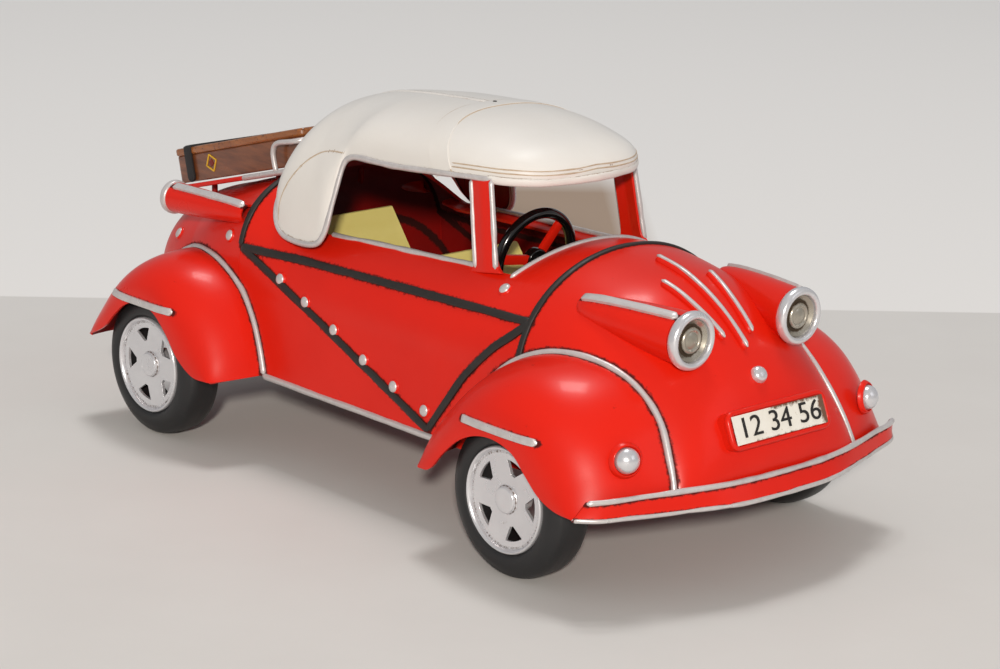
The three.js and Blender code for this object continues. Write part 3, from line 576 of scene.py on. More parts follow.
# Brushed and sprayed gloss enamel on tinplate: a deep red with a clear, slightly soft shine.
RED = Finish("red_enamel_on_tinplate", "#d81f0c", "#cb1a09", patch_mm=45, roughness=0.34, coat=0.1,
             coat_roughness=0.12, relief_mm=0.9, relief_depth_mm=0.012, wash="#1e0604", specular=0.22,
             specks="#8c1006", speck_mm=5, speck_share=0.1)
# The same enamel inside, below and under things. It is duller, and darker as painted shade: those places lie in
# shadow, and the darker red stands for it.
RED_IN_PAINTED_SHADE = Finish("red_enamel_in_painted_shade", "#8c0d09", "#6c0906", patch_mm=30, roughness=0.5, specular=0.25,
                  relief_depth_mm=0.015)
# Ivory enamel, brushed by hand: warm white, satin, with thinned brown paint in its seams.
CREAM = Finish("ivory_enamel_hard_top", "#dcd9d4", "#d5d0c9", patch_mm=28, roughness=0.42, coat=0.08,
               coat_roughness=0.3, wash="#7d5730", wash_share=0.85, relief_mm=1.6, relief_depth_mm=0.02,
               specular=0.3)
# Thinned brown enamel, left as a fine line where the roof's sheets meet.
BROWN_LINE = Finish("thinned_brown_line", "#a58a6c", "#c9bba8", patch_mm=3, patch_share=0.6, roughness=0.6)
# Aluminium paint over solder: pale grey flakes that shine softly and unevenly.
SILVER = Finish("aluminium_paint_on_solder", "#cfcbca", "#b3adac", patch_mm=3, roughness=0.36, spread=0.1,
                metallic=0.35, relief_mm=0.8, relief_depth_mm=0.05, wash="#3a1a12")
# Pressed steel sheet under bright plating: a hard shine with soft smears.
BRIGHT = Finish("plated_steel_pressing", "#dedee1", "#cfcfd3", patch_mm=9, roughness=0.24, spread=0.06,
                metallic=0.6, relief_mm=2.5, relief_depth_mm=0.015, specks="#8a7660", speck_mm=4,
                speck_share=0.1, wash="#4c3114", wash_share=0.8)
# The lamps' dished tin, pale and stained brown round its middle.
DISH = Finish("tin_lamp_dish", "#b8b2a6", "#97907f", patch_mm=4, roughness=0.3, metallic=0.75,
              relief_depth_mm=0.03, wash="#3b2812", wash_share=0.9)
# Black enamel over a raised cord: dull, thick and slightly lumpy.
BLACK_STRIP = Finish("black_enamel_on_cord", "#26221f", "#1a1715", patch_mm=5, roughness=0.5, spread=0.1,
                     relief_mm=1.0, relief_depth_mm=0.08)
# Dipped black gloss enamel, as on the steering wheel.
BLACK_GLOSS = Finish("black_gloss_enamel", "#0b0a0a", "#141212", roughness=0.16, spread=0.04, coat=0.5,
                     coat_roughness=0.05, relief_depth_mm=0.005)
# Painted strap over the suitcase: flat black.
STRAP = Finish("black_strap_paint", "#1b1a1b", "#262425", patch_mm=4, roughness=0.6, relief_mm=0.6,
               relief_depth_mm=0.05)
# Moulded rubber: near black, satin, with faint grey scuffs.
RUBBER = Finish("moulded_tyre_rubber", "#19191a", "#232325", patch_mm=18, roughness=0.46, spread=0.1,
                relief_mm=0.7, relief_depth_mm=0.02, specks="#3a3836", speck_mm=9, speck_share=0.25)
# Lacquered dark wood: red brown with long streaks and a clear coat.
WOOD = Finish("lacquered_dark_wood", "#8f5229", "#4a2412", patch_mm=3.5, patch_share=0.7, roughness=0.34,
              coat=0.5, coat_roughness=0.14, stretch=(0.22, 1.0, 1.4), relief_mm=0.8, relief_depth_mm=0.03,
              wash="#160a05")
# The lid's lighter wood, worn at its edges.
PALE_WOOD = Finish("lacquered_lid_wood", "#a8662f", "#6f3c1b", patch_mm=3, patch_share=0.6, roughness=0.34,
                   coat=0.45, coat_roughness=0.15, stretch=(0.2, 1.0, 1.3), relief_mm=0.8,
                   relief_depth_mm=0.03, specks="#3c1c0c", speck_mm=1.5, speck_share=0.5, wash="#241006")
# Pale yellow enamel, brushed thin, so the strokes show.
YELLOW = Finish("yellow_seat_enamel", "#e8dc86", "#dccd70", patch_mm=9, roughness=0.5,
                stretch=(1.0, 0.3, 1.0), relief_mm=1.4, relief_depth_mm=0.03, wash="#5a4a1c")
# Yellow and red sign paint, for the suitcase's plain diamond.
SIGN_YELLOW = Finish("yellow_sign_paint", "#e0b52a", "#d2a31d", patch_mm=2, roughness=0.4,
                     relief_depth_mm=0.02)
SIGN_RED = Finish("red_sign_paint", "#7c1a10", "#5f140d", patch_mm=2, roughness=0.4, relief_depth_mm=0.02)
# White enamel plate, with rust creeping in from its edges.
PLATE = Finish("white_enamel_plate", "#e6e3da", "#d9d4c6", patch_mm=6, roughness=0.35, wash="#5b3413",
               wash_share=0.95, specks="#8a5a2a", speck_mm=3, speck_share=0.2, relief_depth_mm=0.02)
# Black stencil paint for the plate's digits; on the roof's pin hole the same black is painted shade.
BLACK_INK_AND_HOLE_SHADE = Finish("black_stencil_paint_and_hole_shade", "#161412", "#211d19", patch_mm=3, roughness=0.5, relief_depth_mm=0.02)
# Bare steel, drawn and machined: axles, flywheel and motor plates.
STEEL = Finish("bare_drawn_steel", "#8b8c8e", "#6f6f72", patch_mm=5, roughness=0.36, metallic=1.0,
               stretch=(1.0, 0.2, 1.0), relief_mm=0.5, relief_depth_mm=0.02)
# Stamped clock brass for the gears.
BRASS = Finish("stamped_clock_brass", "#b08f45", "#8d6f31", patch_mm=4, roughness=0.34, metallic=1.0,
               relief_depth_mm=0.02)

CAR = "car_body"
WASH_BLOCK = 4000


def round_edges(piece: bpy.types.Object, width: float, segments: int, angle: float) -> None:
    """Rounds the sharp edges of a piece.

    Args:
        piece: the piece.
        width: how far the edges are rounded, in mm.
        segments: how finely.
        angle: how far the faces beside an edge have to turn, in degrees.
    """
    edge = piece.modifiers.new("edge", "BEVEL")
    edge.width = width * MM
    edge.segments = segments
    edge.limit_method = "ANGLE"
    edge.angle_limit = math.radians(angle)


@dataclass(frozen=True)
class Make:
    """How a shape becomes a piece: what it is called, wears and stands for."""

    name: str
    finish: Finish
    slot: str
    body: str = CAR
    stands_for: tuple[str, ...] = ()
    inside: Finish | None = None
    thick: float = 0.0
    bevel: float = 0.0
    smooth_angle: float = 40.0
    seams: Seams = ()

    def of(self, shape: Shape) -> bpy.types.Object:
        """Makes the piece.

        Args:
            shape: its points and faces.

        Returns:
            The Blender object, riding on its body.
        """
        mesh = bpy.data.meshes.new(self.name)
        mesh.from_pydata([tuple(p) for p in to_frame(shape.points)], [], shape.faces)
        mesh.validate()
        mesh.materials.append(self.finish.make())
        if self.inside:
            mesh.materials.append(self.inside.make())
        piece = bpy.data.objects.new(self.name, mesh)
        bpy.context.scene.collection.objects.link(piece)
        self.write_wash(mesh, shape.points)
        if self.thick:
            solid = piece.modifiers.new("sheet", "SOLIDIFY")
            solid.thickness = self.thick * MM
            solid.offset = -1.0
            solid.material_offset = 1 if self.inside else 0
        if self.bevel:
            round_edges(piece, self.bevel, 3, 35)
        mesh.shade_smooth()
        mesh.set_sharp_from_angle(angle=math.radians(self.smooth_angle))
        uses = np.bincount([loop.edge_index for loop in mesh.loops], minlength=len(mesh.edges))
        for edge in np.flatnonzero(uses == 1):
            mesh.edges[edge].use_edge_sharp = True
        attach(piece, self.body)
        if self.stands_for:
            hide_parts(*self.stands_for)
        LOG.info("made %s with %d faces", self.name, len(mesh.polygons))
        return piece

    def write_wash(self, mesh: bpy.types.Mesh, points: np.ndarray) -> None:
        """Writes how close each point is to a seam, from 0 far away to 1 on it.

        Args:
            mesh: the piece's mesh.
            points: its points, in mm.
        """
        wash = np.zeros(len(points))
        for seam, reach in self.seams:
            for start in range(0, len(points), WASH_BLOCK):
                part = slice(start, start + WASH_BLOCK)
                gap = np.sqrt(((points[part, None] - seam[None]) ** 2).sum(axis=2).min(axis=1))
                wash[part] = np.maximum(wash[part], np.exp(-((gap / reach) ** 2)))
        if len(mesh.vertices) == len(wash):
            mesh.attributes.new("wash", "FLOAT", "POINT").data.foreach_set("value", wash.astype(np.float32))


def pair(
    name: str, finish: Finish, slot: str, shape: Shape, stands_for: str = "", seams: Seams = (), **how: object,
) -> None:
    """Makes a piece on the right and its mirror image on the left.

    Args:
        name: what both are called, after their side.
        finish: what they wear.
        slot: their colour slot, which nothing uses.
        shape: the one on the right.
        stands_for: the CAD node that each replaces, after its side, if there is one.
        seams: the lines that paint gathers along on the right.
        how: whatever else a Make says.
    """
    for side in Side:
        sign = [1, -side.value, 1]
        nodes = (f"{side.word}_{stands_for}",) if stands_for else ()
        lines = tuple((line * sign, reach) for line, reach in seams)
        Make(f"{side.word}_{name}", finish, slot, stands_for=nodes, seams=lines, **how).of(shape.on(side))


def dress(nodes: Iterable[str], finish: Finish, bevel: float = 0.0) -> None:
    """Gives CAD nodes a finish, and softens their edges.

    Args:
        nodes: the nodes' names.
        finish: what they wear.
        bevel: how far their edges are rounded, in mm.
    """
    for name in nodes:
        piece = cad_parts[name]
        piece.data.materials.clear()
        piece.data.materials.append(finish.make())
        if bevel:
            round_edges(piece, bevel, 2, 40)
        LOG.info("dressed %s as %s", name, finish.name)


# ---- Hull -------------------------------------------------------------------------------------


@dataclass
class Hull:
    """The body's sheets: nose, tail and two side panels, and the lines drawn on them."""

    sill: float = 31.2
    tin: float = 1.2
    rear_hoop: float = -70.0
    cowl: float = 66.3
    cowl_foot: float = 46.0
    shoulder: float = 60.0
    half_width: float = 50.0
    hoop_top: float = 102.0
    crown_top: float = 98.0
    lean: float = 0.13
    waist: float = 87.2
    waist_rise: float = 0.037
    lobe_top: float = 98.4
    nose_crown: Line = Line((
        (66.3, 0, 98), (82, 0, 99), (97, 0, 97), (112, 0, 93.4), (126, 0, 86), (138, 0, 76.2),
        (147, 0, 65.5), (154, 0, 53), (157, 0, 42), (157.6, 0, 31.2)))
    nose_wide: Line = Line((
        (46, 50, 60), (78, 49.7, 60), (99, 48.6, 58), (116, 47.2, 52), (130, 46, 45),
        (140, 45, 39), (147, 44, 35), (151, 43.2, 32.5), (152, 42.8, 31.2)))
    tail_crown: Line = Line((
        (-70, 0, 102), (-84, 0, 96.8), (-104, 0, 90.6), (-122, 0, 85), (-136, 0, 80.5),
        (-147, 0, 72.5), (-151.5, 0, 59), (-150.5, 0, 43), (-145, 0, 31.2)))
    tail_wide: Line = Line((
        (-70, 50, 60), (-88, 49, 58), (-104, 46.5, 53), (-118, 43.2, 46), (-127, 40, 40),
        (-132, 37.5, 35), (-134, 36, 31.2)))
    nose_powers: Triple = (2.1, 2.15, 1)
    tail_powers: Triple = (2.85, 2.2, 3)

    def __post_init__(self) -> None:
        """Builds the skin that everything else is laid on."""
        nose = self.ribs(self.nose_crown, self.nose_wide, self.nose_powers, 60, 40)
        tail = self.ribs(self.tail_crown, self.tail_wide, self.tail_powers, 60, 40)
        cabin = np.array([self.cabin_rib(x, 40) for x in np.linspace(self.rear_hoop, self.cowl, 40)])
        insides = ((tail, (-100, 0, 40)), (cabin, (0, 0, 45)), (nose, (100, 0, 40)))
        skins = [Shape.of_grid(grid, inside) for grid, inside in insides]
        self.skin = skins[0].joined(skins[1:]).tree()

    def below(self, wide: np.ndarray) -> np.ndarray:
        """The sill below a point of the widest line."""
        return np.array([wide[0], wide[1] + (wide[2] - self.sill) * self.lean, self.sill])

    def ribs(self, crown: Line, wide: Line, powers: Triple, rows: int, columns: int) -> np.ndarray:
        """Lays ribs from the first to the last point of two lines.

        Args:
            crown: the line along the top.
            wide: the widest line.
            powers: the superellipse's power at the start and end, and how soon it gets there.
            rows: how many ribs, less one.
            columns: points on half a rib.

        Returns:
            The grid of points.
        """
        grid = []
        for t in np.linspace(0, 1, rows + 1):
            power = powers[0] + (powers[1] - powers[0]) * min(1, t * powers[2])
            side = wide.at(t)[0]
            grid.append(both_sides(rib(crown.at(t)[0], side, self.below(side), power, columns, 12)))
        return np.array(grid)

    def section(self, x: float) -> tuple[float, float]:
        """The crown's height and the power of the cabin's section at x."""
        settle = min(1, 5 * (x - self.rear_hoop) / (self.cowl - self.rear_hoop))
        power = self.tail_powers[0] + (self.nose_powers[0] - self.tail_powers[0]) * settle
        return self.hoop_top + (self.crown_top - self.hoop_top) * settle, power

    def cabin_rib(self, x: float, columns: int) -> np.ndarray:
        """A rib of the closed cabin, which the posts and the roof are drawn over."""
        top, power = self.section(x)
        side = np.array([x, self.half_width, self.shoulder])
        return both_sides(rib(np.array([x, 0, top]), side, self.below(side), power, columns, 12))

    def flank(self, x: np.ndarray, z: np.ndarray) -> np.ndarray:
        """The half width of the cabin at x and height z."""
        found = np.empty(np.shape(z))
        for i, (a, b) in enumerate(zip(np.ravel(x), np.ravel(z))):
            top, power = self.section(a)
            if b <= self.shoulder:
                width = self.half_width + (self.shoulder - b) * self.lean
            else:
                rise = (b - self.shoulder) / (top - self.shoulder)
                width = self.half_width * (1 - rise**power) ** (1 / power)
            found.ravel()[i] = width
        return found

    def cowl_line(self, z: np.ndarray) -> np.ndarray:
        """Where the cowl's rear edge runs, as x at height z, from its foot at the shoulder."""
        share = (z - self.shoulder) / (self.crown_top - self.shoulder)
        return self.cowl_foot + (self.cowl - self.cowl_foot) * share

    def side_grid(self) -> np.ndarray:
        """The right side panel, from the sill to the waist and up behind the roof's lobe."""
        rows, columns = 120, 44
        grid = np.empty((rows + 1, columns + 1, 3))
        for i, t in enumerate(np.linspace(0, 1, rows + 1)):
            ahead = self.rear_hoop + 0.35 + t * (self.cowl - 5 - self.rear_hoop - 0.35)
            climb = float(smoothstep(np.array(-ahead), 45, 70))
            top = (self.waist + self.waist_rise * ahead) * (1 - climb) + self.lobe_top * climb
            z = self.sill + (top - self.sill) * np.linspace(0, 1, columns + 1)
            edge = self.cowl_line(np.maximum(z, self.shoulder))
            x = self.rear_hoop + 0.2 + t * (edge + 0.8 - self.rear_hoop - 0.2)
            tuck = 0.07 * float(smoothstep(np.array(t), 0.97, 0.99))
            grid[i] = np.stack([x, tuck - self.flank(x, z), z], axis=1)
        return grid

    def project(self, origins: np.ndarray, aims: np.ndarray) -> Laid:
        """Casts points onto the skin.

        Args:
            origins: points well outside it.
            aims: points inside it.

        Returns:
            Where the rays land, and the normals there, facing out.
        """
        origins, aims = np.asarray(origins, float), np.asarray(aims, float)
        return cast(self.skin, origins, aims - origins, (origins + aims) / 2)

    def on_side(self, places: Sequence[tuple[float, float]], spacing: float = 1.0) -> Laid:
        """Lays a side-view line of (x, z) places on the right flank."""
        corners = tuple((x, 0, z) for x, z in places)
        drawn = Line(corners).even(spacing) if len(corners) > 2 else resample(np.array(corners), spacing)
        return self.project(drawn + [0, -200, 0], drawn)

    def on_top(self, places: Sequence[tuple[float, float]], spacing: float = 1.0) -> Laid:
        """Lays a plan-view line of (x, y) places on the top."""
        drawn = resample(np.array([(x, y, 0) for x, y in places]), spacing)
        return self.project(drawn + [0, 0, 300], drawn)

    def over(self, x: float, low: float, spacing: float = 1.0) -> Laid:
        """Lays a hoop over the top at x, from a height on the right to the same on the left."""
        start = math.atan2(low - 45, 49)
        angles = np.linspace(start, math.pi - start, 160)
        rays = np.stack([np.zeros(160), -np.cos(angles), np.sin(angles)], axis=1)
        centre = np.array([x, 0, 45.0])
        points, _ = self.project(centre + rays * 200, np.tile(centre, (160, 1)))
        points = resample(points, spacing)
        return self.project(centre + unit(points - centre) * 200, np.tile(centre, (len(points), 1)))

    def build(self, seams: Seams) -> None:
        """Builds the four sheets.

        Args:
            seams: the lines that thinned paint has gathered along, each with its reach in mm.
        """
        # The four sheets' insides wear the darker red: painted shade inside the body.
        for name, crown, wide, powers, inside in (
            ("nose_shell", self.nose_crown, self.nose_wide, self.nose_powers, (100, 0, 40)),
            ("tail_shell", self.tail_crown, self.tail_wide, self.tail_powers, (-100, 0, 40)),
        ):
            grid = self.ribs(crown, wide, powers, 110, 70)
            Make(f"{name}_skin", RED, "red_enamel", stands_for=(name,), inside=RED_IN_PAINTED_SHADE, thick=self.tin,
                 seams=seams).of(Shape.of_grid(grid, inside))
        panel = Shape.of_grid(self.side_grid(), (0, 0, 45))
        for side in Side:
            Make(f"{side.word}_side_skin", RED, "red_enamel", stands_for=(f"{side.word}_side_panel",),
                 inside=RED_IN_PAINTED_SHADE, thick=self.tin, seams=seams).of(panel.on(side))
        # Floor pan and dashboard wear the darker red: painted shade under the car and inside the cabin.
        dress(["floor_pan", "dashboard"], RED_IN_PAINTED_SHADE, 0.3)


@dataclass
class FlankTrim:
    """The black cords, solder heads and sill beads that are laid on the hull."""

    hull: Hull
    cord_width: float = 3.0
    cord_height: float = 0.9
    hoop_width: float = 2.4
    waist_line: tuple[tuple[float, float], ...] = ((-69.5, 75.7), (82.5, 79.2))
    diagonal: tuple[tuple[float, float], ...] = ((-69.5, 75.7), (43, 33.6))
    bend: tuple[tuple[float, float], ...] = (
        (83, 79.2), (76.5, 73.5), (68, 66.5), (58, 56.4), (50.5, 45.7), (42.5, 33.8))
    rivets: tuple[tuple[float, float], ...] = (
        (-45.6, 68.3), (-30.1, 63.1), (-12.9, 56.6), (5, 49.7), (22.4, 44.2), (39.7, 39.8),
        (63.3, 85.7), (-79, 77.9), (-125, 68.4))
    rivet_radius: float = 2.1
    rivet_height: float = 1.3

    def lines(self) -> dict[str, Laid]:
        """The right-hand cords, by name, each as points and normals."""
        return {
            "waist_cord": self.hull.on_side(self.waist_line),
            "diagonal_cord": self.hull.on_side(self.diagonal),
            "bend_cord": self.hull.on_side(self.bend),
        }

    def hoops(self) -> dict[str, Laid]:
        """The two cords that cross over the top."""
        return {"cowl_hoop": self.hull.over(82.5, 66), "rear_hoop": self.hull.over(-70, 76)}

    def seams(self) -> Seams:
        """The cords' lines on both sides, for the wash beside them."""
        both = []
        for points, _ in self.lines().values():
            both += [(points, 1.9), (points * [1, -1, 1], 1.9)]
        return tuple(both + [(points, 1.7) for points, _ in self.hoops().values()])

    def build(self) -> None:
        """Builds the cords, the solder heads and the sill beads."""
        for seed, (name, (points, normals)) in enumerate(self.lines().items()):
            cord = sweep(points, normals, self.cord_width, self.cord_height, Section.SOFT, 10 * seed, 0.13)
            pair(name, BLACK_STRIP, "black_strap", cord)
        for seed, (name, (points, normals)) in enumerate(self.hoops().items()):
            Make(name, BLACK_STRIP, "black_strap").of(
                sweep(points, normals, self.hoop_width, self.cord_height, Section.SOFT, 50 + seed, 0.12))
        self.build_rivets()
        self.build_sills()

    def build_rivets(self) -> None:
        """Builds the silver solder heads, each with a rough red collar."""
        h, r = self.rivet_height, self.rivet_radius
        head = turned([(-0.4, 0), (-0.4, r), (0.35 * h, r), (0.8 * h, 0.74 * r), (h, 0.3 * r), (h, 0)], 20, 3)
        collar = turned(
            [(-0.4, 0), (-0.4, 1.32 * r), (0.1 * h, 1.24 * r), (0.42 * h, r), (0.42 * h, 0)], 20, 2)
        places, normals = self.hull.project(
            np.array([(x, -200, z) for x, z in self.rivets]), np.array([(x, 0, z) for x, z in self.rivets]))
        for name, part, finish, slot in (
            ("heads", head, SILVER, "silver_paint"), ("collars", collar, RED, "red_enamel"),
        ):
            parts = [placed(part, p, n) for p, n in zip(places, normals)]
            pair(f"solder_{name}", finish, slot, parts[0].joined(parts[1:]))

    def build_sills(self) -> None:
        """Builds the silver bead along each sill."""
        x = np.linspace(-50, 49, 100)
        z = np.full(100, self.hull.sill + 0.4)
        path = np.stack([x, -self.hull.flank(x, z) - 0.2, z], axis=1)
        pair("sill_bead", SILVER, "silver_paint",
             sweep(path, np.array([0.0, -0.9, -0.4]), 2.2, 0.9, Section.SOFT, 71, 0.15))


@dataclass
class Fender:
    """One pair of fenders: ribs from the solder line on the hull, over the crest, to the arch."""

    name: str
    hull: Hull
    seam: Line
    crest: Line
    arch: Line
    strip: tuple[Triple, Triple]
    power: float = 2.5
    tin: float = 1.2

    def grid(self, rows: int = 110, columns: int = 56) -> np.ndarray:
        """The right fender's outside."""
        shares = np.linspace(0, 1, rows + 1)
        drawn = self.seam.at(shares)
        places, _ = self.hull.project(drawn + [0, -200, 0], drawn)
        start = np.stack([drawn[:, 0], places[:, 1] + 0.6, drawn[:, 2]], axis=1)
        crest, arch = self.crest.at(shares) * [1, -1, 1], self.arch.at(shares) * [1, -1, 1]
        angle = np.linspace(0, math.pi / 2, columns + 1)
        out = (np.sin(angle) ** (2 / self.power))[None, :, None]
        down = (1 - np.cos(angle) ** (2 / self.power))[None, :, None]
        return start[:, None] + (crest - start)[:, None] * out + (arch - crest)[:, None] * down

    def bead_line(self) -> Laid:
        """The solder line on the right, lying between the fender and the hull."""
        drawn = self.seam.even(1.0)
        points, normals = self.hull.project(drawn + [0, -200, 0], drawn)
        return points + normals * 0.3, normals

    def build(self) -> None:
        """Builds the pair, their solder beads and the silver strip over each wheel."""
        shape = Shape.of_grid(self.grid(), (self.crest.points[4][0], -60, 35))
        seam, seam_normals = self.bead_line()
        bead = sweep(seam, seam_normals, 2.4, 1.1, Section.ROUND, 7, 0.16)
        strip, strip_normals = self.strip_line(shape)
        flat = sweep(strip, strip_normals, 2.7, 0.9, Section.FLAT, 3, 0.04)
        pair(f"{self.name}_fender_skin", RED, "red_enamel", shape, f"{self.name}_fender",
             ((seam, 1.9), (strip, 1.7)), inside=RED_IN_PAINTED_SHADE, thick=self.tin)
        pair(f"{self.name}_fender_bead", SILVER, "silver_paint", bead)
        pair(f"{self.name}_fender_strip", SILVER, "silver_paint", flat)

    def strip_line(self, shape: Shape) -> Laid:
        """The strip's middle line, cast onto the fender's side."""
        drawn = resample(np.array(self.strip), 1.0)
        rays = np.tile([0.0, 1, 0], (len(drawn), 1))
        return cast(shape.tree(), drawn * [1, 0, 1] + [0, -200, 0], rays, drawn)


def front_fender(hull: Hull) -> Fender:
    """The front pair, from the door line to the bumper."""
    return Fender(
        "front", hull,
        Line(((56, 0, 31.5), (61, 0, 44), (70, 0, 57), (82, 0, 67), (97, 0, 72.5), (113, 0, 72.5),
              (127, 0, 68), (138.5, 0, 59), (146.5, 0, 47), (150.5, 0, 38), (151.3, 0, 31.8))),
        Line(((58.5, 74.5, 30), (62, 75.5, 42), (72, 76, 54), (84, 76, 64.5), (99, 76, 70.5), (113, 76, 69.5),
              (125, 76, 64.5), (134, 76, 56.5), (139.5, 76, 46), (141.5, 76, 38), (141.8, 75.5, 31.2))),
        Line(((61.5, 73.6, 29), (67, 74.2, 30), (74, 74.6, 37), (82, 74.8, 43.8), (91, 74.9, 47.8),
              (100, 75, 48.6), (109, 75, 46), (115, 75, 40.6), (121.5, 74.9, 35), (129, 74.8, 32),
              (137, 74.4, 31.2))),
        ((83.4, -74, 52.2), (119, -74, 52.0)),
    )


def rear_fender(hull: Hull) -> Fender:
    """The rear pair."""
    return Fender(
        "rear", hull,
        Line(((-49.5, 0, 32), (-54, 0, 42), (-60.5, 0, 52.5), (-69.5, 0, 61.5), (-81, 0, 67.4),
              (-94, 0, 69.4), (-106, 0, 67.8), (-117, 0, 62.5), (-125, 0, 54), (-130.5, 0, 43), (-133, 0, 32.5))),
        Line(((-54, 73.5, 31), (-57, 75, 41), (-63, 76, 51.5), (-72, 76, 61), (-83, 76, 68), (-97, 76, 70.5),
              (-109, 76, 67.5), (-120, 76, 60.5), (-129, 75.5, 51), (-136, 74, 40), (-139, 72, 31.5))),
        Line(((-58, 73.6, 30.5), (-66, 74.2, 30.8), (-75, 74.6, 36), (-82, 74.8, 44), (-90, 74.9, 50.4),
              (-100, 75, 52), (-108, 75, 49.4), (-115, 74.8, 44.2), (-122, 74.4, 38), (-129.5, 73.6, 34),
              (-136, 71.5, 31.5))),
        ((-117, -74, 52.6), (-78.5, -74, 52.6)),
    )


# ---- Hard top ---------------------------------------------------------------------------------


@dataclass
class HardTop:
    """The soldered hard top, its posts and its window beads."""

    hull: Hull
    crown: Line = Line((
        (67.3, 0, 120.5), (65.5, 0, 125), (58.5, 0, 130.2), (44, 0, 134.6), (28, 0, 137), (8, 0, 137.2),
        (-13, 0, 136.1), (-18, 0, 135.8), (-27, 0, 135), (-35, 0, 134.1), (-41.5, 0, 133), (-50.5, 0, 130),
        (-56, 0, 124.6), (-58.8, 0, 114.5), (-59.5, 0, 102.8)))
    rim: Line = Line((
        (66.3, 8, 120), (62, 22, 120), (53, 31, 120.2), (40, 35, 120), (22, 37.3, 119), (2, 38, 117.6),
        (-18.5, 38.5, 116.9), (-22, 38.9, 114.6), (-23.6, 42.6, 101), (-25.3, 45.6, 88.5), (-29, 46.2, 84.4),
        (-47, 46.2, 83.8), (-52.8, 45.3, 87), (-57, 42, 94), (-61, 32, 102.4)))
    power: float = 2.35
    thick: float = 1.5
    post_foot: Triple = (50.6, -35.6, 88.4)
    post_head: Triple = (45, -33.6, 119.6)
    post_half: float = 4.8

    def grid(self, rows: int = 150, columns: int = 64) -> np.ndarray:
        """The roof's outside."""
        lines = []
        for t in np.linspace(0, 1, rows + 1):
            rim = self.rim.at(t)[0]
            lines.append(both_sides(rib(self.crown.at(t)[0], rim, rim, self.power, columns, 0)))
        return np.array(lines)

    def on_roof(self, places: np.ndarray, rays: np.ndarray) -> Laid:
        """Casts points onto the roof along rays; returns the points and outward normals."""
        return cast(self.tree, places - rays * 100, rays, places)

    def band(self, offset: float) -> Laid:
        """The strip across the roof, which bows back towards the centre line."""
        y = np.linspace(-37.5, 37.5, 90)
        x = 29 - 15 * (1 - (np.abs(y) / 37.5) ** 2.2) + offset
        aim = np.stack([x, y, 128 - 8 * (np.abs(y) / 37.5) ** 4], axis=1)
        rays = unit(np.stack([np.zeros(90), -y / 37.5 * 1.5, -np.ones(90)], axis=1))
        points, _ = self.on_roof(aim, rays)
        points = resample(points, 1.0)
        centre = np.stack([points[:, 0], np.zeros(len(points)), np.full(len(points), 95.0)], axis=1)
        return self.on_roof(points, unit(centre - points))

    def build(self) -> None:
        """Builds the roof with its seams, and then the posts and beads."""
        shape = Shape.of_grid(self.grid(), (0, 0, 100))
        self.tree = shape.tree()
        band, band_normals = self.band(0)
        x = np.linspace(-52, 9, 60)
        drawn = np.stack([x, np.zeros(60), np.full(60, 130.0)], axis=1)
        spine, spine_normals = self.on_roof(drawn, np.tile([0.0, 0, -1], (60, 1)))
        quarter = np.array([(-22.6, 117.8), (-30, 117.2), (-36.5, 115.4), (-43.5, 110.4), (-49.5, 101.7),
                            (-51.8, 94), (-51.5, 88.4)])
        q = Line(tuple((a, -60.0, b) for a, b in quarter)).even(1.0)
        right_quarter, quarter_normals = self.on_roof(q, np.tile([0.0, 1, 0], (len(q), 1)))
        rim = self.rim.even(1.0) * [1, -1, 1]
        hem = rim[rim[:, 0] > 24] + [0, 1.3, 3.4]
        seams = [(spine + [0, 1.2, 0], 0.5), (spine - [0, 1.2, 0], 0.5)]
        for sign in ([1, 1, 1], [1, -1, 1]):
            seams += [(right_quarter * sign, 0.35), (hem * sign, 0.35), (rim * sign, 1.0)]
        # The roof's inside wears the darker red: painted shade under the roof.
        Make("roof_skin", CREAM, "cream_enamel", stands_for=("roof_shell",), inside=RED_IN_PAINTED_SHADE,
             thick=self.thick, seams=tuple(seams)).of(shape)
        Make("roof_band", CREAM, "cream_enamel").of(
            sweep(band, band_normals, 8.4, 0.3, Section.FLAT, 5, 0.02, blunt=False))
        for name, offset in (("front", 4.3), ("rear", -4.3)):
            Make(f"roof_band_{name}_line", BROWN_LINE, "cream_enamel").of(
                sweep(*self.band(offset), 0.55, 0.22, Section.ROUND, 34, 0.35))
        front = rim[rim[:, 0] > 32]
        for height in (2.6, 3.9):
            loop = np.vstack([(front * [1, -1, 1])[::-1], [[67.3, 0.0, 120.4]], front])
            loop = resample(loop + [0, 0, height], 1.0)
            line = self.on_roof(loop, unit(np.array([20.0, 0.0, 121.0]) - loop))
            Make(f"roof_hem_line_{height:.0f}", BROWN_LINE, "cream_enamel").of(
                sweep(*line, 0.5, 0.2, Section.ROUND, 36, 0.35))
        Make("roof_spine", CREAM, "cream_enamel", seams=((spine + [0, 0.9, 0], 0.5),)).of(
            sweep(spine, spine_normals, 2.2, 0.3, Section.SOFT, 6, 0.1))
        # The pin hole is a black disk: painted shade where the hole's shadowed inside would show.
        hole = turned([(-0.2, 0), (-0.2, 0.9), (0.35, 0.7), (0.4, 0)], 14)
        Make("roof_pin_hole", BLACK_INK_AND_HOLE_SHADE, "black_strap").of(placed(hole, spine[-1] + [3.6, 1.0, 0.25], (0, 0, 1)))
        quarter_line = sweep(right_quarter, quarter_normals, 0.5, 0.16, Section.ROUND, 9, 0.3)
        self.build_rim()
        self.build_posts()
        pair("quarter_seam", BROWN_LINE, "cream_enamel", quarter_line)

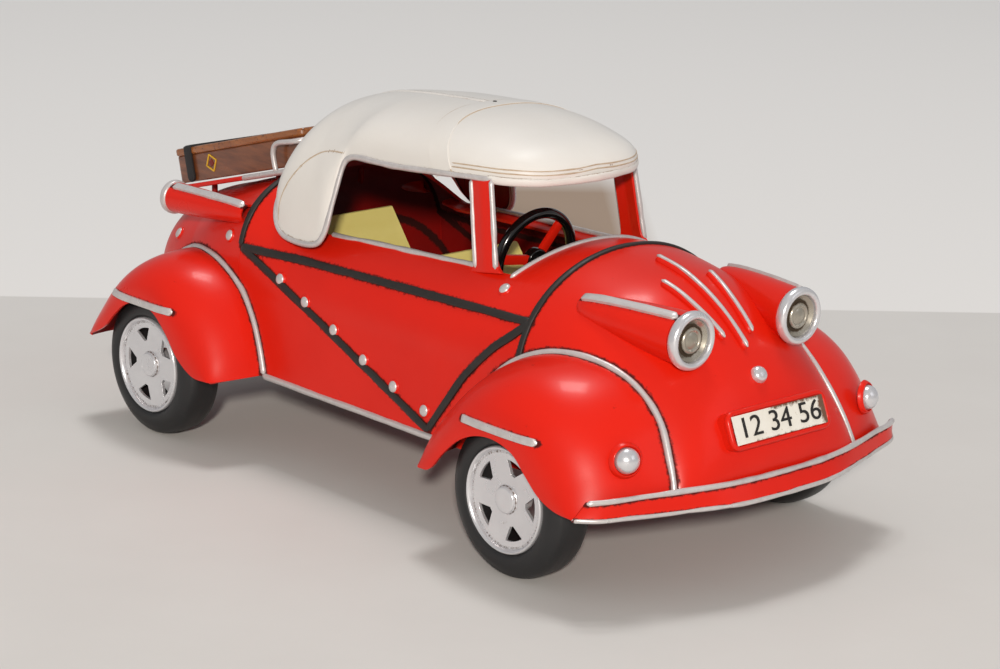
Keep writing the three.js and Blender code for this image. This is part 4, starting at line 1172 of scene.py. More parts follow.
    def build_rim(self) -> None:
        """Builds the cream hem round the front, and the silver beads of the windows."""
        whole = self.rim.even(1.0)
        front = whole[whole[:, 0] > 46.5]
        loop = resample(np.vstack([(front * [1, -1, 1])[::-1], [[67.3, 0.0, 120.2]], front]), 1.0)
        out = unit(loop - np.array([20.0, 0.0, 128.0]))
        Make("roof_hem", CREAM, "cream_enamel", seams=((loop + [0, 0, 1.3], 0.7),)).of(
            sweep(loop + out * 0.2, out, 3.0, 0.8, Section.ROUND, 12, 0.06))
        rear = whole[whole[:, 0] <= 51]
        out = unit(np.array([0.0, -1.0, -0.35]))
        bead = sweep(rear * [1, -1, 1] + out * 0.2, out, 2.2, 0.9, Section.ROUND, 14, 0.12)
        pair("window_bead", SILVER, "silver_paint", bead)

    def build_posts(self) -> None:
        """Builds the two posts with their silver edges, the sill beads and the waist rails."""
        foot, head = np.array(self.post_foot), np.array(self.post_head)
        shares = np.linspace(0, 1, 25)[:, None]
        middle = foot + (head - foot) * shares
        flare = 3.2 * np.exp(-shares * 14) + 0.5 * np.exp(-(1 - shares) * 18)
        out = unit(np.array([0.12, -1.0, 0.08]))
        across = np.array([1.0, 0.0, 0.15])
        grid = np.stack([middle + across * (self.post_half + flare) * s - out * 0.6 * abs(s) + out * 0.8
                         for s in np.linspace(-1, 1, 9)], axis=1)
        pair("post", RED, "red_enamel", Shape.of_grid(grid, (45, 0, 100)), "windscreen_post",
             thick=1.8, bevel=0.3)
        for word, s in (("rear", -1), ("front", 1)):
            edge = resample((middle + across * (self.post_half + 0.2) * s)[1:], 1.0)
            pair(f"post_{word}_bead", SILVER, "silver_paint",
                 sweep(edge, out, 1.9, 1.0, Section.ROUND, 20 + s, 0.15))
        x = np.linspace(-31, 46, 78)
        z = self.hull.waist + self.hull.waist_rise * x + 0.3
        sill = np.stack([x, -self.hull.flank(x, z), z], axis=1)
        pair("window_sill_bead", SILVER, "silver_paint",
             sweep(sill, np.array([0.0, -0.7, 0.7]), 1.9, 0.9, Section.ROUND, 25, 0.2))
        x = np.linspace(-58, 58, 117)
        z = self.hull.waist + self.hull.waist_rise * x - 1.6
        rail = np.stack([x, -self.hull.flank(x, z) + 4.2, z], axis=1)
        pair("waist_rail", RED, "red_enamel",
             sweep(rail, np.array([0.0, 0.25, 1.0]), 5.4, 0.7, Section.FLAT, 26, 0.02))
        self.build_cowl_bead()

    def build_cowl_bead(self) -> None:
        """Builds the silver bead along the cowl's rear edge, below the windscreen."""
        angle = np.linspace(0, math.pi, 90)
        low, top = 88.6, self.hull.crown_top
        z = low + (top - low) * np.sin(angle) ** 0.9
        x = self.hull.cowl_line(z)
        y = -self.hull.flank(x, np.minimum(z, top - 0.001)) * np.sign(np.cos(angle) + 1e-9)
        path = resample(np.stack([x + 0.2, y, z], axis=1), 1.0)
        normals = unit(path - np.array([80.0, 0.0, 70.0]))
        Make("cowl_bead", SILVER, "silver_paint").of(sweep(path, normals, 2.0, 0.9, Section.ROUND, 31, 0.16))


# ---- Nose -------------------------------------------------------------------------------------


@dataclass
class NoseTrim:
    """Lamps, fins, badge, number plate and bumper."""

    hull: Hull
    lamp: Triple = (139.2, 25.5, 82.4)
    lamp_radius: float = 9.9
    lamp_depth: float = 2.8
    pod_tip: Triple = (96, -33, 86)
    digits: str = "12 34 56"

    def lamp_centre(self) -> np.ndarray:
        """The middle of the right lamp, where its pod begins."""
        return np.array([self.lamp[0] - self.lamp_depth, -self.lamp[1], self.lamp[2]])

    def pod_point(self, share: np.ndarray, angle: np.ndarray) -> np.ndarray:
        """Points on the right lamp's pod, by share and angle as in tapered()."""
        face = self.lamp_centre()
        axis = (np.array(self.pod_tip) - face) * np.asarray(share, float)[..., None]
        return face + axis + tapered(share, angle, self.lamp_radius - 0.9, 3)

    def build_lamps(self) -> None:
        """Builds the pods, rings and dishes of the headlights, and the strip on each pod."""
        share, angle = np.meshgrid(np.linspace(0, 1, 50), np.linspace(0, 2 * math.pi, 64), indexing="ij")
        pod = Shape.of_grid(self.pod_point(share, angle), (120, -28, 84))
        r = self.lamp_radius
        ring = turned([(0.1, r - 1.2), (1.2, r - 0.3), (2.6, r), (3.9, r - 0.5), (4.4, r - 1.5),
                       (4.0, r - 2.4), (3.0, r - 2.7), (1.2, r - 2.8), (0.1, r - 2.8), (0.1, r - 1.2)], 72, 4)
        dish = turned([(0.5, 0), (0.5, r - 2.9), (2.9, r - 2.9), (2.4, r - 3.6), (1.6, 5.2), (1.7, 4.7),
                       (2.7, 4.3), (3.1, 3.6), (2.6, 2.9), (2.9, 2.2), (3.4, 0)], 56, 4)
        centre = self.lamp_centre()
        groove = np.array([centre + [1.9, 4.9 * math.cos(a), 4.9 * math.sin(a)]
                           for a in np.linspace(0, 6.28, 60)])
        lean = math.atan2(8.3, -4.5)
        strip = resample(self.pod_point(np.linspace(0.0, 0.97, 42), np.full(42, lean)), 1.0)
        out = np.array([0.0, math.cos(lean), math.sin(lean)])
        pair("pod_skin", RED, "red_enamel", pod, "headlight_pod", ((strip, 1.8),), thick=1.0)
        pair("lamp_ring", BRIGHT, "silver_paint", placed(ring, centre, (1, 0, 0)), "headlight_ring")
        pair("lamp_dish", DISH, "lamp_dish", placed(dish, centre, (1, 0, 0)), "headlight_lens",
             ((groove, 0.9),))
        pair("pod_strip", SILVER, "silver_paint", sweep(strip, out, 3.1, 1.0, Section.FLAT, 40, 0.06))

    def build_signals(self) -> None:
        """Builds the domed signal lamps and their grooves."""
        dome = turned(
            [(-1.2, 0), (-1.2, 4.1), (0.4, 4.15), (1.7, 3.6), (2.8, 2.3), (3.4, 0.8), (3.45, 0)], 40, 4)
        collar = turned(
            [(-1.5, 0), (-1.5, 5.9), (-0.6, 5.6), (0.1, 5.1), (0.2, 4.75), (-0.9, 4.5), (-0.9, 0)], 40, 3)
        place = (144.0, -57.6, 49.5)
        facing = (0.94, -0.3, 0.16)
        pair("signal_dome", BRIGHT, "silver_paint", placed(dome, place, facing), "signal_lamp")
        pair("signal_collar", RED, "red_enamel", placed(collar, place, facing))

    def build_fins(self) -> None:
        """Builds the three ridges on the hood, each with a silver crest."""
        for name, ends, stands, height in (
            ("hood_ridge", ((96.5, 0), (139, 0)), ("hood_fin",), 1.9),
            ("right_hood_ridge", ((110, -11), (135, -6.5)), ("right_hood_fin",), 1.7),
            ("left_hood_ridge", ((110, 11), (135, 6.5)), ("left_hood_fin",), 1.7),
        ):
            points, normals = self.hull.on_top(ends)
            Make(name, RED, "red_enamel", stands_for=stands).of(
                sweep(points, normals, 2.9, height, Section.ROUND, 60, 0.05))
            Make(name.replace("ridge", "crest"), SILVER, "silver_paint").of(
                sweep(points + normals * (height - 0.35), normals, 1.7, 0.75, Section.SOFT, 62, 0.12))

    def build_plate(self) -> None:
        """Builds the badge, and the number plate in its raised frame."""
        badge = turned([(-1, 0), (-1, 2.9), (0.3, 2.8), (1.1, 2.3), (1.7, 1.2), (1.9, 0)], 32, 4)
        low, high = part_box("nose_badge")
        centre = np.array((low + high) / 2) / MM - [SHIFT / MM, 0, 0]
        Make("badge_dome", BRIGHT, "silver_paint", stands_for=("nose_badge",)).of(
            placed(badge, centre - np.array([0.78, 0, 0.62]) * 0.4, (0.78, 0, 0.62)))
        points, normals = self.hull.project(np.array([(400, 0, 54.2)]), np.array([(0, 0, 54.2)]))
        out = unit(normals[0] * [1, 0, 1])
        up = np.array([-out[2], 0, out[0]])
        right = np.array([0.0, 1.0, 0.0])
        face = points[0] + out * 1.6
        outline = slab(45.4, 11.4, 1.0, 2.6, 10).points[:40]
        loop = np.vstack([outline, outline[:1]])
        loop = resample(loop @ np.array([right, up, out]) + face, 1.0)
        Make("plate_frame", RED, "red_enamel", stands_for=("number_plate_pad",)).of(
            sweep(loop, out, 2.0, 1.25, Section.ROUND, 64, 0.08, blunt=False))
        Make("plate_backing", RED, "red_enamel", bevel=0.3).of(
            seated(slab(46.6, 12.4, 8.0, 2.8, 8), face - out * 7.4, right, up))
        edge = resample(seated(slab(43.0, 9.4, 0.5, 1.0, 6), face, right, up).points[:24], 1.0)
        Make("plate_face", PLATE, "plate_enamel", stands_for=("number_plate",), bevel=0.15,
             seams=((edge, 1.0), *self.rust(face, right, up))
             ).of(self.fine_plate(face + out * 0.6, right, up, out))
        self.build_digits(face + out * 1.25, right, up, out)

    @staticmethod
    def rust(face: np.ndarray, right: np.ndarray, up: np.ndarray) -> Seams:
        """The rusted places on the plate: its left end, and its edges towards that end."""
        end = np.array([face + right * 21.0 + up * v for v in np.linspace(-3, 5, 12)])
        edge = np.array([face + right * u + up * 5.2 for u in np.linspace(-2, 21, 30)])
        foot = np.array([face + right * u - up * 5.4 for u in np.linspace(-12, 16, 30)])
        return ((end, 2.6), (edge, 1.9), (foot, 1.5))

    @staticmethod
    def fine_plate(centre: np.ndarray, right: np.ndarray, up: np.ndarray, out: np.ndarray) -> Shape:
        """A thin plate cut into small squares, so that the rust can follow its edges."""
        u, v = np.meshgrid(np.linspace(-21.6, 21.6, 87), np.linspace(-4.75, 4.75, 20), indexing="ij")
        top = centre + u[..., None] * right + v[..., None] * up + out * 0.5
        return Shape.of_grid(top, centre - out * 5).joined([Shape.of_grid(top - out * 0.5, centre + out * 5)])

    def build_digits(self, centre: np.ndarray, right: np.ndarray, up: np.ndarray, out: np.ndarray) -> None:
        """Builds plain digits, as thin raised paint.

        Args:
            centre: the middle of the plate's face.
            right: along the digits.
            up: up the plate.
            out: away from the plate.
        """
        curve = bpy.data.curves.new("digits", "FONT")
        curve.body = self.digits
        curve.align_x, curve.align_y = "CENTER", "CENTER"
        curve.size, curve.extrude = 9.6, 0.12
        written = bpy.data.objects.new("digits", curve)
        mesh = bpy.data.meshes.new_from_object(written)
        points = np.array([v.co[:] for v in mesh.vertices])
        faces = [tuple(p.vertices) for p in mesh.polygons]
        bpy.data.objects.remove(written)
        bpy.data.meshes.remove(mesh)
        bpy.data.curves.remove(curve)
        points[:, 0] *= 36.5 / np.ptp(points[:, 0])
        Make("plate_digits", BLACK_INK_AND_HOLE_SHADE, "black_strap", smooth_angle=20).of(
            Shape(points @ np.array([right, up, out]) + centre, faces))

    def build_bumper(self) -> None:
        """Builds the bumper: a flared red band between two silver beads."""
        low = Line(((139.4, 77.0, 31.9), (145.3, 70.5, 31.9), (150.4, 57, 31.9), (155, 43, 31.9),
                    (161.4, 22.7, 31.9), (162.8, 0, 31.9)))
        high = Line(((142.4, 73.4, 38), (145.9, 66.5, 38.2), (149, 56, 38.4), (153.2, 43, 38.6),
                     (157.9, 24, 38.7), (159.6, 0, 38.8)))
        shares = np.concatenate([np.linspace(0, 1, 80), np.linspace(1, 0, 80)[1:]])
        sides = np.concatenate([np.full(80, -1.0), np.full(79, 1.0)])[:, None]
        sides = np.hstack([np.ones_like(sides), sides, np.ones_like(sides)])
        a, b = low.at(shares) * sides, high.at(shares) * sides
        grid = np.stack([a + (b - a) * h for h in np.linspace(0, 1, 12)], axis=1)
        upper, lower = resample(b, 1.0), resample(a, 1.0)
        Make("bumper_band", RED, "red_enamel", stands_for=("front_bumper",), thick=1.2,
             seams=((upper, 1.6), (lower, 1.4))).of(Shape.of_grid(grid, (100, 0, 35)))
        out = unit(upper - np.array([90.0, 0.0, 30.0]))
        Make("bumper_top_bead", SILVER, "silver_paint").of(
            sweep(upper, out, 1.9, 0.9, Section.ROUND, 66, 0.16))
        out = unit(lower - np.array([90.0, 0.0, 45.0]))
        Make("bumper_low_bead", SILVER, "silver_paint").of(
            sweep(lower - out * 0.7 + [0, 0, 0.2], out, 1.6, 0.8, Section.ROUND, 68, 0.16))

    def build(self) -> None:
        """Builds everything on the nose."""
        self.build_lamps()
        self.build_signals()
        self.build_fins()
        self.build_plate()
        self.build_bumper()


# ---- Tail and luggage -------------------------------------------------------------------------


@dataclass
class Tail:
    """The two tail tubes, the rack and the suitcase."""

    mouth: Triple = (-118.5, -44.5, 85.2)
    radius: float = 5.8
    tip: Triple = (-72, -44, 87)
    tip_radius: float = 3.4
    case_base: Triple = (-141, 0, 83.4)
    tilt: float = math.radians(15.3)
    length: float = 82.0
    width: float = 50.0
    body: float = 10.6
    lid: float = 2.6
    strap: float = 9.5
    wire: float = 0.9

    def tube_point(self, share: np.ndarray, angle: np.ndarray) -> np.ndarray:
        """Points on the right tail tube, from its mouth to its tip."""
        face = np.array(self.mouth) + [3, 0, 0]
        offset = tapered(share, angle, self.radius, self.tip_radius)
        share = np.asarray(share, float)[..., None]
        return face - [3, 0, 0] * (share < 0.02) + (np.array(self.tip) - face) * share + offset

    def build_tubes(self) -> None:
        """Builds the tubes, their silver end rings and strips."""
        share, angle = np.meshgrid(np.linspace(0, 1, 40), np.linspace(0, 2 * math.pi, 48), indexing="ij")
        shell = Shape.of_grid(self.tube_point(share, angle), (-95, -44, 86))
        r = self.radius + 0.7
        ring = turned([(-0.2, r - 1.7), (-0.4, r - 0.8), (0.2, r - 0.1), (1.2, r), (2.4, r - 0.2),
                       (2.8, r - 0.9), (2.4, r - 1.7), (-0.2, r - 1.7)], 48, 4)
        lean = math.radians(118)
        strip = resample(self.tube_point(np.linspace(0.03, 0.99, 44), np.full(44, lean)), 1.0)
        out = np.array([0.0, math.cos(lean), math.sin(lean)])
        # The tubes' insides wear the darker red: painted shade inside them.
        pair("tube_skin", RED, "red_enamel", shell, "tail_tube", ((strip, 1.6),), thick=0.8, inside=RED_IN_PAINTED_SHADE)
        pair("tube_ring", SILVER, "silver_paint", placed(ring, self.mouth, (1, 0, 0)), "tail_ring")
        pair("tube_strip", SILVER, "silver_paint", sweep(strip, out, 3.0, 0.9, Section.FLAT, 80, 0.06))

    def on_case(self, ahead: float, side: float, up: float) -> np.ndarray:
        """A place by the suitcase: ahead along it, to its side, and above its underside."""
        along = np.array([math.cos(self.tilt), 0, math.sin(self.tilt)])
        rise = np.array([-math.sin(self.tilt), 0, math.cos(self.tilt)])
        return np.array(self.case_base) + along * ahead + rise * up + [0, side, 0]

    def block(self, low: float, high: float, grow: float, corner: float) -> Shape:
        """A layer of the suitcase between two heights."""
        part = slab(self.length + 2 * grow, self.width + 2 * grow, high - low, corner, 8)
        along = (math.cos(self.tilt), 0, math.sin(self.tilt))
        return seated(part, self.on_case(self.length / 2, 0, low), along, (0, 1, 0))

    def build_case(self) -> None:
        """Builds the suitcase, its lid, strap and painted diamond."""
        Make("suitcase_shell", WOOD, "brown_lacquer", stands_for=("suitcase_body",), bevel=0.5).of(
            self.block(0, self.body, 0, 2.2))
        Make("suitcase_lid_shell", PALE_WOOD, "tan_lacquer", stands_for=("suitcase_lid",), bevel=0.9).of(
            self.block(self.body, self.body + self.lid + 0.35, 0.45, 2.6))
        reach, top = self.width / 2 + 0.7, self.body + self.lid + 0.7
        loop = [(-reach, -0.3), (-reach, top), (reach, top), (reach, -0.3)]
        path = []
        for (y0, u0), (y1, u1) in zip(loop, loop[1:]):
            path += [self.on_case(self.strap, y0 + (y1 - y0) * t, u0 + (u1 - u0) * t)
                     for t in np.linspace(0.02, 0.98, 24)]
        path = resample(np.array(path), 0.8)
        centre = self.on_case(self.strap, 0, self.body / 2)
        normals = unit((path - centre) * [1, 0.35, 1])
        Make("suitcase_belt", STRAP, "black_strap", stands_for=("suitcase_strap",)).of(
            sweep(path, normals, 4.4, 0.5, Section.FLAT, 90, 0.05))
        self.build_diamond()

    def build_diamond(self) -> None:
        """Builds the plain painted diamond on the suitcase's right face."""
        middle = (23.0, -self.width / 2 - 0.12, 6.2)
        reach = 3.4
        corners = [(0, reach), (reach, 0), (0, -reach), (-reach, 0), (0, reach)]
        turn = math.radians(14)
        path = []
        for a, b in corners:
            a, b = a * math.cos(turn) - b * math.sin(turn), a * math.sin(turn) + b * math.cos(turn)
            path.append(self.on_case(middle[0] + a, middle[1], middle[2] + b))
        path = resample(np.array(path), 0.4)
        Make("suitcase_diamond", SIGN_YELLOW, "yellow_enamel").of(
            sweep(path, np.array([0.0, -1.0, 0.0]), 0.62, 0.16, Section.FLAT, 92, 0.08, blunt=False))
        dot = turned([(-0.1, 0), (-0.1, 1.6), (0.12, 1.5), (0.14, 0)], 4)
        Make("suitcase_diamond_centre", SIGN_RED, "red_enamel").of(
            placed(dot, self.on_case(*middle), (0, -1, 0)))

    def wire_between(self, start: Triple, stop: Triple, radius: float) -> Shape:
        """A straight wire between two places by the suitcase, given as on_case() takes them."""
        return tube(resample(np.array([self.on_case(*start), self.on_case(*stop)]), 1.0), radius)

    def build_rack(self) -> None:
        """Builds the rack: bent wire rails, cross wires and four feet."""
        y, under, over = self.width / 2 + 3.4, -1.5, 9.0
        step, end = 67.4, self.length + 2
        upper = [(step, y - 0.2, under), (step, y, 4), (step + 0.4, y, over - 2.4), (step + 2.4, y, over),
                 (end - 3, y, over), (end, y - 2.5, over), (end, 0, over)]
        half = np.array([self.on_case(a, -s, u) for a, s, u in upper])
        hoop = Line(tuple(map(tuple, np.vstack([half, (half * [1, -1, 1])[::-1][1:]])))).even(0.8)
        lower = [self.wire_between((-1, s * y, under), (end, s * y, under), self.wire) for s in (-1, 1)]
        cross = [self.wire_between((a, -y, under), (a, y, under), self.wire) for a in (-1, 16, 58)]
        tops = [self.on_case(a, s * 20, under) for a in (16, 58) for s in (-1, 1)]
        feet = [tube(resample(np.array([top, top - [0, 0, 9.6]]), 1.0), self.wire * 1.3) for top in tops]
        Make("rack_hoop", SILVER, "silver_paint", stands_for=("luggage_rack",)).of(
            tube(hoop, self.wire + 0.1, 95, 0.05))
        Make("rack_rails", RED, "red_enamel").of(lower[0].joined(lower[1:] + cross))
        # The feet wear the darker red: painted shade under the rack.
        Make("rack_feet", RED_IN_PAINTED_SHADE, "dark_red_enamel").of(feet[0].joined(feet[1:]))
        silver = [self.wire_between((46, s * y, under), (end, s * y, under), self.wire + 0.16)
                  for s in (-1, 1)]
        Make("rack_silver_rails", SILVER, "silver_paint").of(silver[0].joined(silver[1:]))

    def build(self) -> None:
        """Builds everything on the tail."""
        self.build_tubes()
        self.build_case()
        self.build_rack()


# ---- Cabin ------------------------------------------------------------------------------------


@dataclass
class Cabin:
    """Seats, steering wheel and column."""

    centre: Triple = (36.5, 0, 85)
    radius: float = 17.3
    rim: float = 1.95
    tilt: float = math.radians(8.4)

    def in_wheel(self, shape: Shape) -> Shape:
        """Places a body that is drawn about the y axis on the steering axis."""
        return placed(shape, self.centre, (math.cos(self.tilt), 0, -math.sin(self.tilt)))

    def build(self) -> None:
        """Builds the wheel on its own body, and dresses the seats."""
        ring = [(self.rim * math.sin(a), self.radius + self.rim * math.cos(a))
                for a in np.linspace(0, 2 * math.pi, 17)]
        Make("wheel_rim", BLACK_GLOSS, "black_enamel", "steering_wheel", stands_for=("steering_wheel",)).of(
            self.in_wheel(turned(ring, 80)))
        hub = turned([(-2.2, 0), (-2.2, 1.6), (-1.9, 2.6), (-2.3, 3.2), (-1.8, 3.9), (0.4, 4.4),
                      (1.9, 4.2), (2, 0)], 40, 4)
        Make("wheel_hub", BLACK_GLOSS, "black_enamel", "steering_wheel").of(self.in_wheel(hub))
        spokes = []
        for degrees in (90, 210, 330):
            a = math.radians(degrees)
            outward = np.array([math.sin(a), 0.0, math.cos(a)])
            path = resample(np.array([outward * 2.5 + [0, 0.5, 0], outward * (self.radius - 0.6)]), 1.0)
            spokes.append(sweep(path, np.array([0.0, -1.0, 0.0]), 3.6, 0.8, Section.FLAT, degrees, 0.05))
        Make("wheel_spokes", RED, "red_enamel", "steering_wheel").of(
            self.in_wheel(spokes[0].joined(spokes[1:])))
        dress(["rear_seat", "front_seat"], YELLOW, 0.3)
        dress(["steering_column"], BLACK_GLOSS)


# ---- Wheels and motor -------------------------------------------------------------------------


@dataclass
class Wheels:
    """Tyres, rims, axles and brackets."""

    base: float = 200.0
    radius: float = 27.1
    rim: float = 18.1
    outer: float = 70.3
    width: float = 16.0

    def tyre(self) -> Shape:
        """A smooth tyre about the y axis, its outer wall at y = 0."""
        w, r, i = self.width, self.radius, self.rim + 0.15
        profile = [(0.9, i), (0.1, i + 1.0), (-0.15, i + 2.8), (0.1, i + 4.6), (0.9, r - 2.6),
                   (2.0, r - 1.1), (3.9, r - 0.25), (6.2, r), (w / 2, r), (w - 6.2, r),
                   (w - 3.9, r - 0.25), (w - 2.0, r - 1.1), (w - 0.9, r - 2.6), (w - 0.1, i + 4.6),
                   (w, i + 2.8), (w - 0.2, i + 1.0), (w - 0.9, i)]
        line = Line(tuple((a, b, 0.0) for a, b in profile)).at(np.linspace(0, 1, 90))
        closed = [(a, b) for a, b, _ in line] + [(0.9, i)]
        return turned(closed, 112)

    def face(self, phase: float) -> Shape:
        """The rim's pressed face with five windows, from the hub to the lip.

        Args:
            phase: the turn of the first window from straight ahead, in radians.

        Returns:
            The face about the y axis.
        """
        windows, steps = 5, 9
        inner, outer, hub = 0.5 * self.rim, 0.77 * self.rim, 4.9
        radii = np.concatenate([np.linspace(hub, inner, 6), np.linspace(inner, outer, 12)[1:],
                                np.linspace(outer, self.rim - 1.6, 6)[1:]])
        sector = 2 * math.pi / windows
        grid = np.empty((len(radii), windows * 4 * steps, 3))
        for i, r in enumerate(radii):
            share = np.clip((r - inner) / (outer - inner), 0, 1)
            half = (0.8 + 3.5 * share) / r
            for k in range(windows):
                middle = k * sector + phase
                stops = np.concatenate([np.linspace(-sector / 2, -half, steps + 1)[:-1],
                                        np.linspace(-half, half, 2 * steps + 1)[:-1],
                                        np.linspace(half, sector / 2, steps + 1)[:-1]])
                depth = 1.1 + 0.9 * (1 - r / self.rim)
                for j, a in enumerate(middle + stops):
                    grid[i, k * 4 * steps + j] = (r * math.cos(a), depth, r * math.sin(a))
        rows, columns = grid.shape[:2]
        hole_rows = [i for i in range(rows - 1) if inner - 1e-6 <= radii[i] and radii[i + 1] <= outer + 1e-6]
        faces = []
        for i in range(rows - 1):
            for j in range(columns):
                inside = steps <= j % (4 * steps) < 3 * steps
                if i in hole_rows and inside:
                    continue
                k = (j + 1) % columns
                faces.append((i * columns + j, i * columns + k, (i + 1) * columns + k, (i + 1) * columns + j))
        return Shape(grid.reshape(-1, 3), faces)

    def barrel(self) -> Shape:
        """The rim's rolled lip."""
        r = self.rim
        return turned([(1.9, r - 1.8), (0.9, r - 1.5), (0.1, r - 1.1), (-0.35, r - 0.5), (0.1, r),
                       (1.0, r + 0.1), (3.4, r + 0.1), (3.4, r - 1.1), (3.0, r - 2.0), (1.9, r - 1.8)], 96, 3)

    def liner(self) -> Shape:
        """The dark inside of the wheel, behind the lip."""
        r, w = self.rim, self.width
        return turned(
            [(3.45, r - 1.1), (3.45, r + 0.1), (w - 1, r + 0.1), (w - 1, r - 1.1), (3.45, r - 1.1)], 96)

    def hub(self) -> Shape:
        """The flat hub cap and the sleeve behind it."""
        return turned([(0.3, 0), (0.3, 3.7), (0.5, 4.4), (1.1, 4.6), (1.5, 4.8), (2.0, 5.2), (3.2, 5.2),
                       (9, 5.0), (9, 1.9), (3.4, 1.9), (3.4, 0)], 56, 3)

    def build(self) -> None:
        """Builds the four wheels, and dresses the axles and brackets."""
        tyre, barrel, hub, liner = self.tyre(), self.barrel(), self.hub(), self.liner()
        for end, x, phase in (("front", self.base / 2, 0.0), ("rear", -self.base / 2, 0.66)):
            face = self.face(phase)
            body = f"{end}_wheels"
            centre = np.array([x, -self.outer, self.radius])
            ring = np.array([centre + [(self.rim - 1.9) * math.cos(a), 1.1, (self.rim - 1.9) * math.sin(a)]
                             for a in np.linspace(0, 6.28, 90)])
            cap = np.array([centre + [4.8 * math.cos(a), 1.4, 4.8 * math.sin(a)]
                            for a in np.linspace(0, 6.28, 40)])
            for side in Side:
                sign = [1, -side.value, 1]
                stem = f"{side.word}_{end}"
                seams = ((ring * sign, 0.42), (cap * sign, 0.35))
                moved = [Shape(s.points + centre, s.faces).on(side) for s in (tyre, face, barrel, hub, liner)]
                Make(f"{stem}_tyre_body", RUBBER, "tyre_rubber", body, (f"{stem}_tyre",)).of(moved[0])
                Make(f"{stem}_rim_face", BRIGHT, "silver_paint", body, (f"{stem}_rim",), thick=1.2,
                     bevel=0.25, seams=seams).of(self.outward(moved[1], side))
                Make(f"{stem}_rim_barrel", BRIGHT, "silver_paint", body, seams=seams).of(moved[2])
                Make(f"{stem}_hub_cap", BRIGHT, "silver_paint", body, seams=seams).of(moved[3])
                Make(f"{stem}_wheel_liner", RUBBER, "tyre_rubber", body).of(moved[4])
                # The brackets wear the darker red: painted shade under the car.
                dress([f"{stem}_axle_bracket"], RED_IN_PAINTED_SHADE, 0.15)
            dress([f"{end}_axle"], STEEL)

    @staticmethod
    def outward(shape: Shape, side: Side) -> Shape:
        """Turns a wheel face's faces away from the car."""
        a, b, c = (shape.points[i] for i in shape.faces[0][:3])
        if np.cross(b - a, c - a)[1] * side.value < 0:
            return Shape(shape.points, [f[::-1] for f in shape.faces])
        return shape


@dataclass
class Motor:
    """The geared flywheel motor in the tail."""

    gears: tuple[str, ...] = ("drive_gear", "countershaft")
    plates: tuple[str, ...] = ("flywheel", "motor_frame")

    def build(self) -> None:
        """Dresses the motor's parts."""
        dress(self.gears, BRASS, 0.1)
        dress(self.plates, STEEL, 0.2)


# ---- Studio -----------------------------------------------------------------------------------


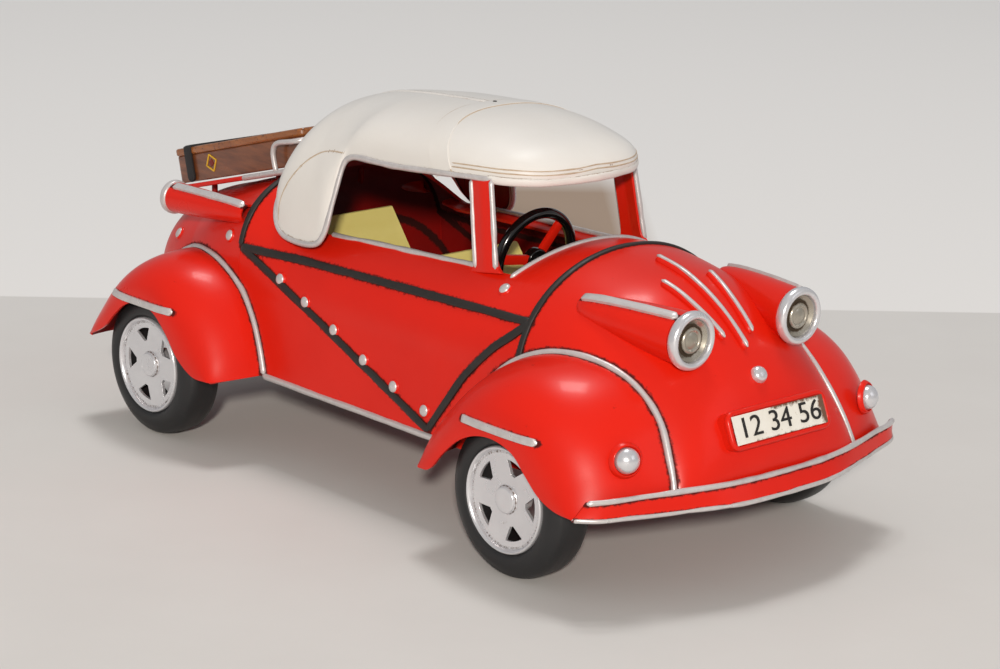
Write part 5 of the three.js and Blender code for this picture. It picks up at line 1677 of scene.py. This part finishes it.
@dataclass
class Studio:
    """The table, the lights and the camera."""

    camera_place: Triple = (0.7468, -0.6672, 0.3280)
    azimuth: float = 47.69
    elevation: float = 15.47
    roll: float = 1.43
    lens: float = 102.93

    def build_camera(self) -> None:
        """Sets the camera at its viewing angle."""
        a, e, r = (math.radians(v) for v in (self.azimuth, self.elevation, self.roll))
        back = Vector((math.sin(a) * math.cos(e), -math.cos(a) * math.cos(e), math.sin(e)))
        right = Vector((0, 0, 1)).cross(back).normalized()
        up = back.cross(right)
        right, up = math.cos(r) * right + math.sin(r) * up, -math.sin(r) * right + math.cos(r) * up
        data = bpy.data.cameras.new("camera")
        data.lens, data.sensor_width = self.lens, 36.0
        camera = bpy.data.objects.new("camera", data)
        turn = Matrix((right, up, back)).transposed().to_4x4()
        camera.matrix_world = Matrix.Translation(self.camera_place) @ turn
        bpy.context.scene.collection.objects.link(camera)
        bpy.context.scene.camera = camera

    @staticmethod
    def build_light(name: str, place: Triple, size: float, watts: float, colour: str) -> None:
        """Hangs a soft square lamp that faces the car.

        Args:
            name: the lamp's name.
            place: where it hangs, in metres.
            size: the side of its square.
            watts: its strength.
            colour: its light, as sRGB hex.
        """
        data = bpy.data.lights.new(name, "AREA")
        data.size, data.energy = size, watts
        data.color = linear(colour)[:3]
        lamp = bpy.data.objects.new(name, data)
        lamp.location = place
        lamp.rotation_mode = "QUATERNION"
        lamp.rotation_quaternion = (Vector(place) - Vector((0, 0, 0.06))).to_track_quat("Z", "Y")
        bpy.context.scene.collection.objects.link(lamp)

    def build_table(self) -> None:
        """Builds the pale table, with a lighter field behind the car and a painted shadow on that field."""
        mesh = bpy.data.meshes.new("table")
        mesh.from_pydata([(-6, -6, 0), (6, -6, 0), (6, 6, 0), (-6, 6, 0)], [], [(0, 1, 2, 3)])
        material = bpy.data.materials.new("matt_table_with_painted_shadow")
        material.use_nodes = True
        tree = material.node_tree
        shader = tree.nodes["Principled BSDF"]
        place = add_node(tree, "TexCoord").outputs["Object"]
        turned_place = add_node(tree, "Mapping", sockets={
            "Vector": place, "Rotation": (0, 0, math.radians(-49.5))}).outputs["Vector"]
        across = add_node(tree, "SeparateXYZ", sockets={0: turned_place}).outputs["Y"]
        field = remap(tree, across, 0.2325, 0.2345)
        table = blend(tree, noise(tree, place, 90, 5.0, 0.6), linear("#d8d6d2"), linear("#cfccc8"))
        colour = blend(tree, field, table, linear("#e8e6e3"))
        # Painted shadow: a soft brown-grey patch on the field. It stands for the car's shadow on the wall behind,
        # where that shows through the windscreen.
        from_shadow_middle = add_node(tree, "Mapping", sockets={
            "Vector": turned_place, "Location": (-0.05, -0.415, 0.0)}).outputs["Vector"]
        distance = add_node(tree, "VectorMath", {"operation": "ABSOLUTE"}, {0: from_shadow_middle}).outputs["Vector"]
        sides = add_node(tree, "SeparateXYZ", sockets={0: distance}).outputs
        shadow_fades = [remap(tree, sides[axis], low, high, 1.0, 0.0)
                   for axis, low, high in (("X", 0.026, 0.048), ("Y", 0.05, 0.11))]
        painted_shadow = add_node(tree, "Math", {"operation": "MULTIPLY"}, {0: shadow_fades[0], 1: shadow_fades[1]}).outputs[0]
        colour = blend(tree, painted_shadow, colour, linear("#a59180"))
        tree.links.new(colour, shader.inputs["Base Color"])
        shader.inputs["Roughness"].default_value = 0.7
        shader.inputs["Specular IOR Level"].default_value = 0.08
        mesh.materials.append(material)
        table_top = bpy.data.objects.new("table", mesh)
        bpy.context.scene.collection.objects.link(table_top)

    def build(self) -> None:
        """Builds the studio."""
        self.build_camera()
        self.build_table()
        self.build_light("flash", (2.05, -1.86, 1.08), 0.16, 66, "#fff6ec")
        self.build_light("ceiling", (-0.5, 0.5, 2.9), 0.7, 30, "#ffffff")
        self.build_light("left_fill", (2.2, 1.0, 1.4), 1.2, 3, "#f6f8ff")
        world = bpy.data.worlds.new("room")
        world.use_nodes = True
        world.node_tree.nodes["Background"].inputs["Color"].default_value = linear("#e8e9ec")
        world.node_tree.nodes["Background"].inputs["Strength"].default_value = 0.42
        bpy.context.scene.world = world
        bpy.context.scene.view_settings.view_transform = "Standard"


def main() -> None:
    """Builds the car's pieces in order, and then the studio."""
    logging.basicConfig(level=logging.INFO, format="%(message)s")
    hull = Hull()
    trim = FlankTrim(hull)
    fenders = (front_fender(hull), rear_fender(hull))
    seams = list(trim.seams())
    for fender in fenders:
        line = fender.bead_line()[0]
        seams += [(line, 2.2), (line * [1, -1, 1], 2.2)]
    hull.build(tuple(seams))
    trim.build()
    for fender in fenders:
        fender.build()
    HardTop(hull).build()
    NoseTrim(hull).build()
    Tail().build()
    Cabin().build()
    Wheels().build()
    Motor().build()
    Studio().build()


if __name__ == "__main__":
    main()
